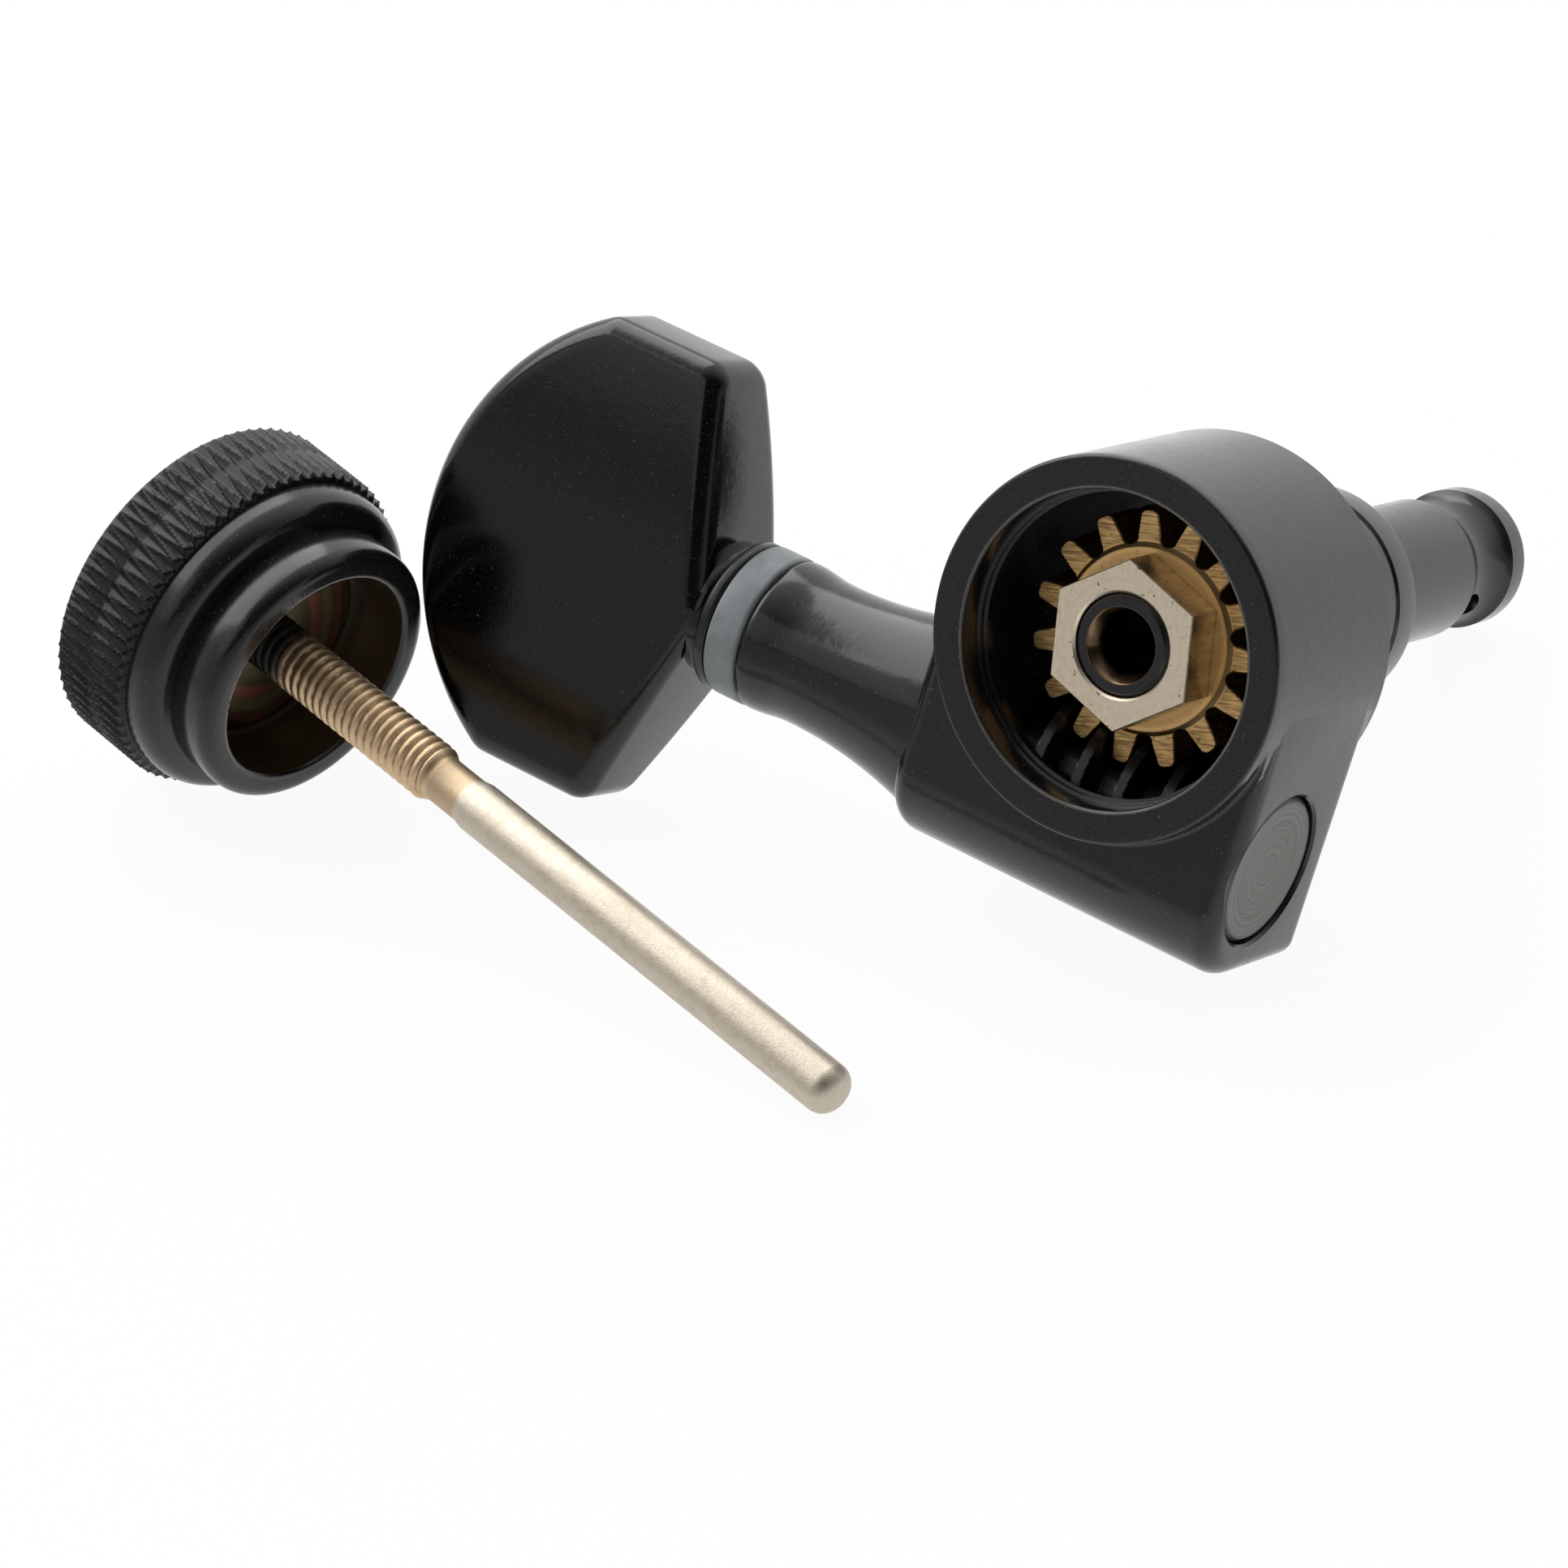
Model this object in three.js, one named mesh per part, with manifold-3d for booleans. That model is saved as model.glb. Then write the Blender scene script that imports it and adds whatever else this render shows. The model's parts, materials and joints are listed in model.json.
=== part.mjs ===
// Locking tuning machine of a string instrument, resting on a table with its locking screw taken out.
// Millimetres. The tuner is built in its own frame: origin on the post axis at the mounting face,
// +Z along the post to its tip, +X along the worm shaft to the key, +Y away from the worm.
// The finished group stands in the table frame: +Z up, origin below the middle of the bounding box.
import * as THREE from 'three';
import { mergeVertices } from 'three/addons/utils/BufferGeometryUtils.js';
import ManifoldModule from 'manifold-3d';

const wasm = await ManifoldModule();
wasm.setup();

// Clearances and cuts
const RUNNING_GAP = 0.04;
const SEAT_GAP = 0.03;
const OVERRUN = 1;
const WELD = 0.00001;

// Facets around round shapes
const FINE_SIDES = 48;
const SIDES = 32;
const SMALL_SIDES = 16;
const THREAD_SIDES = 10;
const WORM_SIDES = 20;
const ROUND_STEPS = 3;
const TOOTH_STEPS = 2;

// Worm and wheel
const TEETH = 15;
const PITCH_RADIUS = 4.6;
const WHEEL_ADDENDUM = 0.6;
const WHEEL_DEDENDUM = 0.78;
const WHEEL_WIDTH = 2;
const WHEEL_TURN = 2.1;
const HUB_RADIUS = 3.55;
const HUB_FLARE = 0.2;
const HUB_HEIGHT = 0.3;
const WORM_PITCH_RADIUS = 2.34;
const WORM_ADDENDUM = 0.56;
const WORM_DEDENDUM = 0.74;
const WORM_END_WIDTH = 0.8;
const WORM_BORE_GAP = 0.1;
const SHAFT_RADIUS = 1.9;
const SHAFT_KEY_RADIUS = 1.5;
const SHAFT_KEY_FLAT = 1.1;
const SHAFT_KEY_SETBACK = 0.69;

// Widths of teeth and thread as shares of the pitch
const TOOTH_TIP_SHARE = 0.384;
const TOOTH_TIP_ROUND_SHARE = 0.14;
const TOOTH_ROOT_ROUND_SHARE = 0.171;
const WORM_CREST_SHARE = 0.24;
const WORM_BASE_SHARE = 0.51;

// End plug and thrust washers
const PLUG_STEP = 0.2;
const PLUG_THICKNESS = 1.8;
const PLUG_CHAMFER = 0.2;
const PLUG_RECESS = 0.12;
const PLUG_SEAT_CHAMFER = 0.12;
const WORM_WASHER_THICKNESS = 0.4;
const POST_WASHER_THICKNESS = 0.4;
const POST_WASHER_RADIUS = 3.85;

// Housing: cup, worm block, neck and collar
const CAVITY_ROOM = 0.95;
const MOUTH_STEP = 0.25;
const MOUTH_CHAMFER = 0.15;
const LEDGE_DEPTH = 0.35;
const LEDGE_WIDTH = 0.13;
const LEDGE_ROOM = 0.05;
const RIM_WIDTH = 1.4;
const RIM_STAND = 1;
const RIM_ROUND = 0.25;
const FLOOR_THICKNESS = 3.6;
const BLOCK_WALL = 0.6;
const BLOCK_FLOOR = 1.76;
const BLOCK_KEY_STAND = 0.2;
const BLOCK_BACK_ROUND = 3.35;
const BLOCK_FRONT_ROUND = 0.9;
const BLOCK_EDGE_ROUND = 0.95;
const COLLAR_RADIUS = 4.65;
const COLLAR_LENGTH = 8.6;
const COLLAR_CHAMFER = 0.15;
const COLLAR_GROOVE_DEPTH = 0.12;
const COLLAR_GROOVE_WIDTH = 0.5;
const COLLAR_GROOVE_SETBACK = 1.5;
const SOCKET_RADIUS = 3.9;
const SOCKET_DEPTH = 5.4;
const SOCKET_CHAMFER = 0.3;
const NECK_LENGTH = 8.4;
const NECK_WAIST_RADIUS = 3.12;
const NECK_WAIST_SETBACK = 2.1;
const NECK_FLANGE_RADIUS = 3.3;
const NECK_FLANGE_WIDTH = 0.7;
const NECK_ROOT_RADIUS = 4.6;
const NECK_ROOT_DEPTH_SHARE = 0.28;
const NECK_SWELL_SHARES = [1, 0.9, 0.66, 0.45, 0.28, 0.14, 0.04, 0];
const LOCATING_PIN_RADIUS = 0.9;
const LOCATING_PIN_LENGTH = 2;
const LOCATING_PIN_INSET = 2;
const LOCATING_PIN_SETBACK = 2.36;
const LOCATING_PIN_CHAMFER = 0.25;

// String post, its nut and bore
const POST_RADIUS = 3;
const POST_TIP = 22.5;
const POST_TIP_ROUND = 0.25;
const POST_DISC_THICKNESS = 1.3;
const POST_GROOVE_LENGTH = 3.7;
const POST_GROOVE_DEPTH = 0.62;
const POST_GROOVE_FULLNESS = 0.6;
const POST_JOURNAL_RADIUS = 2.7;
const POST_DRIVE_RADIUS = 2.6;
const POST_DRIVE_FLAT = 2.25;
const POST_STUD_RADIUS = 2.08;
const POST_STUD_CHAMFER = 0.18;
const POST_BORE_RADIUS = 1.18;
const POST_BORE_CHAMFER = 0.5;
const POST_BORE_END_WALL = 0.9;
const STRING_HOLE_RADIUS = 1;
const STRING_HOLE_TURN = 35;
const NUT_CORNER_RADIUS = 3.52;
const NUT_HEIGHT = 1.75;
const NUT_TURN = 17.5;

// Key button, its washers and screw
const NYLON_WASHER_RADIUS = 3.31;
const NYLON_WASHER_THICKNESS = 1.55;
const NYLON_WASHER_ROUND = 0.2;
const KEY_WASHER_RADIUS = 3.28;
const KEY_WASHER_THICKNESS = 0.5;
const KEY_WASHER_ROUND = 0.12;
const KEY_THICKNESS = 6;
const KEY_ARC_RADIUS = 10.9;
const KEY_SIDE_CUT = 1.25;
const KEY_LENGTH = 14.15;
const KEY_SLOPE = 15;
const KEY_CORNER_ROUND = 1.6;
const KEY_EDGE_ROUND = 1.15;
const KEY_DISH_DEPTH = 0.4;
const KEY_DISH_SHARES = [0.86, 0.6, 0.3];
const KEY_BOSS_RADIUS = 3.5;
const KEY_BOSS_ROUND = 0.5;
const KEY_BOSS_LENGTH = 1.25;
const KEY_BOSS_TAPER = 2.2;
const KEY_BOSS_TAPER_SHARE = 0.7;
const KEY_TURN = 2.4;
const KEY_SCREW_HEAD_RADIUS = 2.15;
const KEY_SCREW_HEAD_HEIGHT = 1.2;
const KEY_SCREW_HEAD_ROUND = 0.35;
const KEY_SCREW_RADIUS = 0.95;
const KEY_SCREW_REACH = 3.6;
const KEY_SCREW_SEAT_DEPTH = 2;
const KEY_SCREW_SLOT_WIDTH = 0.5;
const KEY_SCREW_SLOT_LENGTH = 2.4;
const KEY_SCREW_SLOT_DEPTH = 0.6;

// Locking screw: knurled wheel, backing disc and pin. Places are counted from the wheel's outer face.
const WHEEL_RADIUS = 7.6;
const WHEEL_EDGE_CHAMFER = 0.4;
const KNURL_DEPTH = 0.28;
const KNURL_COUNT = 30;
const KNURL_ROWS = 5;
const KNURL_END = 4.08;
const SHOULDER_STEP = 0.45;
const SHOULDER_FOOT_STEP = 0.3;
const SHOULDER_END = 5.65;
const SHOULDER_CURVE_SHARES = [[0.45, 0.12], [0.75, 0.4], [0.95, 0.78], [1, 1]];
const RING_LINE_DEPTH = 0.12;
const THUMB_COLLAR_RADIUS = 5.9;
const THUMB_COLLAR_END = 7.97;
const THUMB_COLLAR_ROUND = 0.65;
const RECESS_WALL = 1.14;
const RECESS_FLOOR = 4.9;
const RECESS_CHAMFER = 0.2;
const WHEEL_DISH_INSET = 2;
const WHEEL_DISH_DEPTH = 0.35;
const WHEEL_DISH_SHARES = [0.6, 0.75];
const DISC_INSET = 0.36;
const DISC_THICKNESS = 1.1;
const PIN_STUB_RADIUS = 1.2;
const PIN_STUB_START = 1.6;
const PIN_THREAD_RADIUS = 1.27;
const PIN_THREAD_ROOT = 1.03;
const PIN_THREAD_PITCH = 0.47;
const PIN_THREAD_END = 15.9;
const PIN_RELIEF_RADIUS = 1.01;
const PIN_RELIEF_END = 18.1;
const PIN_RELIEF_TAPER = 0.35;
const PIN_ROD_RADIUS = 1.105;
const PIN_ROD_END = 38.9;
const PIN_TIP_LENGTH = 0.85;

// Places on the table: heading of the worm shaft, and the locking screw seen from the key's outer end
const SHAFT_HEADING = 143.8;
const SCREW_PLACE_X = -9.003;
const SCREW_PLACE_Y = -5.409;
const SCREW_HEADING = -46.7;
const SETTLE_ROUNDS = 12;

// Derived radii and places of worm and wheel
const WHEEL_TIP_RADIUS = PITCH_RADIUS + WHEEL_ADDENDUM;
const WHEEL_ROOT_RADIUS = PITCH_RADIUS - WHEEL_DEDENDUM;
const WORM_TIP_RADIUS = WORM_PITCH_RADIUS + WORM_ADDENDUM;
const WORM_ROOT_RADIUS = WORM_PITCH_RADIUS - WORM_DEDENDUM;
const WORM_BORE_RADIUS = WORM_TIP_RADIUS + WORM_BORE_GAP;
const PLUG_RADIUS = WORM_BORE_RADIUS + PLUG_STEP;
const WORM_DROP = PITCH_RADIUS + WORM_PITCH_RADIUS;
const WASHER_ROOM = POST_WASHER_THICKNESS + 2 * SEAT_GAP + RUNNING_GAP;
const WORM_DEPTH = FLOOR_THICKNESS + WASHER_ROOM + WHEEL_WIDTH / 2;

// Derived sizes of the housing
const CAVITY_RADIUS = WHEEL_TIP_RADIUS + CAVITY_ROOM;
const MOUTH_RADIUS = CAVITY_RADIUS + MOUTH_STEP;
const CUP_RADIUS = MOUTH_RADIUS + RIM_WIDTH;
const BLOCK_DEPTH = WORM_DEPTH + WORM_BORE_RADIUS + BLOCK_WALL;
const BLOCK_DROP = WORM_DROP + WORM_BORE_RADIUS + BLOCK_FLOOR;
const BLOCK_KEY_SIDE = CUP_RADIUS + BLOCK_KEY_STAND;
const RIM_HEIGHT = BLOCK_DEPTH + RIM_STAND;
const MOUTH_DEPTH = RIM_STAND + BLOCK_WALL - LEDGE_DEPTH - LEDGE_ROOM;
const NECK_END = BLOCK_KEY_SIDE + NECK_LENGTH;
const NECK_WAIST_PLACE = NECK_END - NECK_WAIST_SETBACK;
const LOCATING_PIN_SPREAD = CUP_RADIUS - LOCATING_PIN_INSET;
const LOCATING_PIN_DROP = WORM_DROP + LOCATING_PIN_SETBACK;

// Derived places along the post and along the shaft
const WHEEL_BACK = -WORM_DEPTH - WHEEL_WIDTH / 2;
const WHEEL_FRONT = -WORM_DEPTH + WHEEL_WIDTH / 2;
const NUT_SEAT = WHEEL_BACK - HUB_HEIGHT;
const NUT_FACE = NUT_SEAT - SEAT_GAP - NUT_HEIGHT;
const SOCKET_FLOOR = COLLAR_LENGTH - SOCKET_DEPTH;
const PLUG_INNER = CUP_RADIUS - PLUG_THICKNESS;
const WORM_HALF = PLUG_INNER - WORM_WASHER_THICKNESS - 2 * SEAT_GAP - RUNNING_GAP;
const THREAD_HALF = WORM_HALF - WORM_END_WIDTH;
const WORM_BORE_END = WORM_HALF + SEAT_GAP;
const NYLON_START = NECK_END + SEAT_GAP;
const KEY_WASHER_START = NYLON_START + NYLON_WASHER_THICKNESS + SEAT_GAP;
const KEY_START = KEY_WASHER_START + KEY_WASHER_THICKNESS + SEAT_GAP;
const KEY_SCREW_SEAT = KEY_START + KEY_LENGTH - KEY_SCREW_SEAT_DEPTH;
const SHAFT_KEY_END = KEY_SCREW_SEAT - SHAFT_KEY_SETBACK;

// Derived sizes of the key and the locking screw
const KEY_HALF_WIDTH = KEY_ARC_RADIUS - KEY_SIDE_CUT;
const SHOULDER_RADIUS = WHEEL_RADIUS - SHOULDER_STEP;
const SHOULDER_FOOT_RADIUS = THUMB_COLLAR_RADIUS + SHOULDER_FOOT_STEP;
const RECESS_RADIUS = THUMB_COLLAR_RADIUS - RECESS_WALL;
const DISC_RADIUS = RECESS_RADIUS - DISC_INSET;
const WHEEL_DISH_RADIUS = WHEEL_RADIUS - WHEEL_DISH_INSET;

const DEGREE = Math.PI / 180;

// Shape helpers

// Closed solid from any geometry: vertices welded, empty triangles dropped, faces turned outward.
function solidOf(geometry) {
  const bare = new THREE.BufferGeometry();
  bare.setAttribute('position', geometry.getAttribute('position'));
  if (geometry.index) bare.setIndex(geometry.index);
  const welded = mergeVertices(bare, WELD);
  const ids = welded.index.array;
  const kept = [];
  for (let i = 0; i < ids.length; i += 3) {
    const [a, b, c] = [ids[i], ids[i + 1], ids[i + 2]];
    if (a !== b && b !== c && c !== a) kept.push(a, b, c);
  }
  const points = Float32Array.from(welded.getAttribute('position').array);
  if (signedVolume(points, kept) < 0) kept.reverse();
  const mesh = new wasm.Mesh({ numProp: 3, vertProperties: points, triVerts: Uint32Array.from(kept) });
  return new wasm.Manifold(mesh);
}

function signedVolume(points, ids) {
  const corner = (i) => new THREE.Vector3().fromArray(points, 3 * i);
  let sum = 0;
  for (let i = 0; i < ids.length; i += 3) {
    sum += corner(ids[i]).dot(corner(ids[i + 1]).cross(corner(ids[i + 2])));
  }
  return sum;
}

function geometryOf(solid) {
  const mesh = solid.getMesh();
  const geometry = new THREE.BufferGeometry();
  geometry.setAttribute('position', new THREE.BufferAttribute(Float32Array.from(mesh.vertProperties), 3));
  geometry.setIndex(Array.from(mesh.triVerts));
  geometry.computeVertexNormals();
  return geometry;
}

function union(solids) {
  return solids.reduce((sum, solid) => sum.add(solid));
}

function cut(solid, tools) {
  return tools.reduce((rest, tool) => rest.subtract(tool), solid);
}

// Body of revolution about local Z from a closed outline of [radius, height] points.
function turned(outline, sides) {
  const points = [...outline, outline[0]].map(([radius, height]) => new THREE.Vector2(radius, height));
  const geometry = new THREE.LatheGeometry(points, sides);
  geometry.rotateX(90 * DEGREE);
  return geometry;
}

function rod(radius, start, end, sides) {
  return solidOf(turned([[0, start], [radius, start], [radius, end], [0, end]], sides));
}

function ringSolid(inner, outer, start, end, round, sides) {
  const outline = [
    [inner, start],
    [outer - round, start],
    [outer, start + round],
    [outer, end - round],
    [outer - round, end],
    [inner, end],
  ];
  return solidOf(turned(outline, sides));
}

// Closed skin over a row of rings of equal point counts, its two ends closed by fans.
function stack(rings) {
  const count = rings[0].length;
  const points = rings.flat();
  const ids = [];
  for (let ring = 0; ring + 1 < rings.length; ring += 1) {
    for (let i = 0; i < count; i += 1) {
      const next = (i + 1) % count;
      const a = ring * count + i;
      const b = ring * count + next;
      ids.push(a, b, b + count, a, b + count, a + count);
    }
  }
  closeRing(points, ids, 0, count, false);
  closeRing(points, ids, (rings.length - 1) * count, count, true);
  const geometry = new THREE.BufferGeometry().setFromPoints(points);
  geometry.setIndex(ids);
  return geometry;
}

function closeRing(points, ids, first, count, ahead) {
  const middle = new THREE.Vector3();
  for (let i = 0; i < count; i += 1) middle.add(points[first + i]);
  points.push(middle.divideScalar(count));
  const hub = points.length - 1;
  for (let i = 0; i < count; i += 1) {
    const a = first + i;
    const b = first + ((i + 1) % count);
    if (ahead) ids.push(hub, a, b);
    else ids.push(hub, b, a);
  }
}

// Screw thread about local Z, right-handed: one ribbon wound along the helix, closed by a fan at each end.
// The crest passes the local X direction at the height of crestPlace.
// Its profile is a list of [place along the axis, radius] that ends one pitch further than it begins.
function threadSolid({ profile, pitch, sides, start, end, crestPlace }) {
  const tip = Math.max(...profile.map(([, radius]) => radius));
  const firstTurn = Math.floor((start - crestPlace) / pitch) - 2;
  const lastTurn = Math.ceil((end - crestPlace) / pitch) + 1;
  const columns = (lastTurn - firstTurn) * sides;
  const points = [];
  for (let column = 0; column <= columns; column += 1) {
    const angle = (360 * DEGREE * column) / sides;
    const rise = crestPlace + pitch * (firstTurn + column / sides);
    for (const [along, radius] of profile) {
      points.push(new THREE.Vector3(radius * Math.cos(angle), radius * Math.sin(angle), rise + along));
    }
  }
  const rows = profile.length;
  const ids = [];
  for (let column = 0; column < columns; column += 1) {
    for (let row = 0; row + 1 < rows; row += 1) {
      const a = column * rows + row;
      ids.push(a, a + rows, a + rows + 1, a, a + rows + 1, a + 1);
    }
  }
  const firstLoop = [];
  for (let column = 0; column <= sides; column += 1) firstLoop.push(column * rows);
  for (let row = rows - 2; row > 0; row -= 1) firstLoop.push(row);
  const lastLoop = [];
  for (let column = columns - sides; column <= columns; column += 1) lastLoop.push(column * rows + rows - 1);
  for (let row = rows - 2; row > 0; row -= 1) lastLoop.push(columns * rows + row);
  fanLoop(points, ids, firstLoop, true);
  fanLoop(points, ids, lastLoop, false);
  const geometry = new THREE.BufferGeometry().setFromPoints(points);
  geometry.setIndex(ids);
  return solidOf(geometry).intersect(rod(tip + OVERRUN, start, end, sides));
}

function fanLoop(points, ids, loop, flip) {
  const height = loop.reduce((sum, i) => sum + points[i].z, 0) / loop.length;
  points.push(new THREE.Vector3(0, 0, height));
  const hub = points.length - 1;
  loop.forEach((a, k) => {
    const b = loop[(k + 1) % loop.length];
    if (flip) ids.push(hub, b, a);
    else ids.push(hub, a, b);
  });
}

// Quarter-round steps: how far a rounded edge draws in and how far it has risen, as [inset, rise].
function roundSteps(radius) {
  const steps = [];
  for (let i = 0; i <= ROUND_STEPS; i += 1) {
    const angle = (90 * DEGREE * i) / ROUND_STEPS;
    steps.push([radius * (1 - Math.sin(angle)), radius * (1 - Math.cos(angle))]);
  }
  return steps;
}

// Places a solid built about local Z on the worm shaft's axis in the tuner frame.
function onShaft(solid) {
  const geometry = geometryOf(solid);
  geometry.rotateY(90 * DEGREE);
  geometry.translate(0, -WORM_DROP, -WORM_DEPTH);
  return solidOf(geometry);
}

function boxSolid(width, depth, height, x, y, z) {
  const geometry = new THREE.BoxGeometry(width, depth, height);
  geometry.translate(x, y, z);
  return solidOf(geometry);
}

// Housing

// Block outline across the shaft, as ring at one place along X, drawn in by an inset except at its top.
function blockRing(place, inset) {
  const bottom = -BLOCK_DROP + inset;
  const back = -BLOCK_DEPTH + inset;
  const front = -inset;
  const backRound = BLOCK_BACK_ROUND - inset;
  const frontRound = Math.max(BLOCK_FRONT_ROUND - inset, 0);
  const ring = [new THREE.Vector3(place, 0, back)];
  for (let i = 0; i <= 2 * ROUND_STEPS; i += 1) {
    const angle = (90 * DEGREE * i) / (2 * ROUND_STEPS);
    const y = bottom + backRound * (1 - Math.sin(angle));
    const z = back + backRound * (1 - Math.cos(angle));
    ring.push(new THREE.Vector3(place, y, z));
  }
  for (let i = 0; i <= ROUND_STEPS; i += 1) {
    const angle = (90 * DEGREE * i) / ROUND_STEPS;
    const y = bottom + frontRound * (1 - Math.cos(angle));
    const z = front - frontRound * (1 - Math.sin(angle));
    ring.push(new THREE.Vector3(place, y, z));
  }
  ring.push(new THREE.Vector3(place, 0, front));
  return ring;
}

function blockSolid() {
  const steps = roundSteps(BLOCK_EDGE_ROUND);
  const near = steps.map(([inset, rise]) => blockRing(-CUP_RADIUS + rise, inset));
  const far = steps.map(([inset, rise]) => blockRing(BLOCK_KEY_SIDE - rise, inset)).reverse();
  return solidOf(stack([...near, ...far]));
}

function cupSolid() {
  const outline = [
    [0, 0],
    [CUP_RADIUS, 0],
    [CUP_RADIUS, -RIM_HEIGHT + RIM_ROUND],
    [CUP_RADIUS - RIM_ROUND, -RIM_HEIGHT],
    [0, -RIM_HEIGHT],
  ];
  return solidOf(turned(outline, FINE_SIDES));
}

function collarSolid() {
  const grooveEnd = COLLAR_LENGTH - COLLAR_GROOVE_SETBACK;
  const grooveFoot = COLLAR_RADIUS - COLLAR_GROOVE_DEPTH;
  const outline = [
    [0, -FLOOR_THICKNESS / 2],
    [COLLAR_RADIUS, -FLOOR_THICKNESS / 2],
    [COLLAR_RADIUS, grooveEnd - COLLAR_GROOVE_WIDTH],
    [grooveFoot, grooveEnd - COLLAR_GROOVE_WIDTH + COLLAR_GROOVE_DEPTH],
    [grooveFoot, grooveEnd - COLLAR_GROOVE_DEPTH],
    [COLLAR_RADIUS, grooveEnd],
    [COLLAR_RADIUS, COLLAR_LENGTH - COLLAR_CHAMFER],
    [COLLAR_RADIUS - COLLAR_CHAMFER, COLLAR_LENGTH],
    [0, COLLAR_LENGTH],
  ];
  return solidOf(turned(outline, SIDES));
}

// Trumpet neck: round at its flange, swelling into an oval that stays inside the block's depth.
function neckSolid() {
  const rootPlace = BLOCK_KEY_SIDE - BLOCK_EDGE_ROUND;
  const swell = NECK_ROOT_RADIUS - NECK_WAIST_RADIUS;
  const rings = NECK_SWELL_SHARES.map((share, i) => {
    const along = i / (NECK_SWELL_SHARES.length - 1);
    const place = rootPlace + (NECK_WAIST_PLACE - rootPlace) * along;
    const high = NECK_WAIST_RADIUS + swell * share;
    const wide = NECK_WAIST_RADIUS + swell * share * NECK_ROOT_DEPTH_SHARE;
    return ovalRing(place, high, wide);
  });
  rings.unshift(ovalRing(BLOCK_KEY_SIDE / 2, NECK_WAIST_RADIUS, NECK_WAIST_RADIUS));
  rings.push(ovalRing(NECK_END - NECK_FLANGE_WIDTH, NECK_FLANGE_RADIUS, NECK_FLANGE_RADIUS));
  rings.push(ovalRing(NECK_END, NECK_FLANGE_RADIUS, NECK_FLANGE_RADIUS));
  return solidOf(stack(rings));
}

function ovalRing(place, high, wide) {
  const ring = [];
  for (let i = 0; i < SIDES; i += 1) {
    const angle = (360 * DEGREE * i) / SIDES;
    const y = -WORM_DROP + high * Math.cos(angle);
    const z = -WORM_DEPTH + wide * Math.sin(angle);
    ring.push(new THREE.Vector3(place, y, z));
  }
  return ring;
}

function locatingPins() {
  const outline = [
    [0, -LOCATING_PIN_LENGTH / 2],
    [LOCATING_PIN_RADIUS, -LOCATING_PIN_LENGTH / 2],
    [LOCATING_PIN_RADIUS, LOCATING_PIN_LENGTH - LOCATING_PIN_CHAMFER],
    [LOCATING_PIN_RADIUS - LOCATING_PIN_CHAMFER, LOCATING_PIN_LENGTH],
    [0, LOCATING_PIN_LENGTH],
  ];
  return [-1, 1].map((side) => {
    const geometry = turned(outline, SMALL_SIDES);
    geometry.translate(side * LOCATING_PIN_SPREAD, -LOCATING_PIN_DROP, 0);
    return solidOf(geometry);
  });
}

function cupCavity() {
  const mouth = MOUTH_RADIUS + MOUTH_CHAMFER;
  const ledge = CAVITY_RADIUS + LEDGE_WIDTH;
  const outline = [
    [0, -RIM_HEIGHT - OVERRUN],
    [mouth, -RIM_HEIGHT - OVERRUN],
    [mouth, -RIM_HEIGHT],
    [MOUTH_RADIUS, -RIM_HEIGHT + MOUTH_CHAMFER],
    [MOUTH_RADIUS, -RIM_HEIGHT + MOUTH_DEPTH],
    [ledge, -RIM_HEIGHT + MOUTH_DEPTH],
    [ledge, -RIM_HEIGHT + MOUTH_DEPTH + LEDGE_DEPTH],
    [CAVITY_RADIUS, -RIM_HEIGHT + MOUTH_DEPTH + LEDGE_DEPTH],
    [CAVITY_RADIUS, -FLOOR_THICKNESS],
    [0, -FLOOR_THICKNESS],
  ];
  return solidOf(turned(outline, FINE_SIDES));
}

function postBore() {
  const bore = POST_JOURNAL_RADIUS + RUNNING_GAP;
  const outline = [
    [0, -FLOOR_THICKNESS - OVERRUN],
    [bore, -FLOOR_THICKNESS - OVERRUN],
    [bore, SOCKET_FLOOR],
    [SOCKET_RADIUS, SOCKET_FLOOR],
    [SOCKET_RADIUS, COLLAR_LENGTH - SOCKET_CHAMFER],
    [SOCKET_RADIUS + SOCKET_CHAMFER, COLLAR_LENGTH],
    [SOCKET_RADIUS + SOCKET_CHAMFER, COLLAR_LENGTH + OVERRUN],
    [0, COLLAR_LENGTH + OVERRUN],
  ];
  return solidOf(turned(outline, SIDES));
}

function wormBore() {
  const seat = PLUG_RADIUS + SEAT_GAP;
  const wide = WORM_BORE_RADIUS;
  const narrow = SHAFT_RADIUS + RUNNING_GAP;
  const outline = [
    [0, -CUP_RADIUS - OVERRUN],
    [seat + PLUG_SEAT_CHAMFER, -CUP_RADIUS - OVERRUN],
    [seat + PLUG_SEAT_CHAMFER, -CUP_RADIUS],
    [seat, -CUP_RADIUS + PLUG_SEAT_CHAMFER],
    [seat, -PLUG_INNER],
    [wide, -PLUG_INNER],
    [wide, WORM_BORE_END],
    [narrow, WORM_BORE_END],
    [narrow, NECK_END + OVERRUN],
    [0, NECK_END + OVERRUN],
  ];
  return onShaft(solidOf(turned(outline, SIDES)));
}

function housingSolid() {
  const body = union([cupSolid(), blockSolid(), collarSolid(), neckSolid(), ...locatingPins()]);
  return cut(body, [cupCavity(), postBore(), wormBore()]);
}

// End plug and thrust washers

function endPlugSolid() {
  const outer = -CUP_RADIUS + PLUG_RECESS;
  const outline = [
    [0, outer],
    [PLUG_RADIUS - PLUG_CHAMFER, outer],
    [PLUG_RADIUS, outer + PLUG_CHAMFER],
    [PLUG_RADIUS, -PLUG_INNER],
    [0, -PLUG_INNER],
  ];
  return solidOf(turned(outline, SIDES));
}

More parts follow.
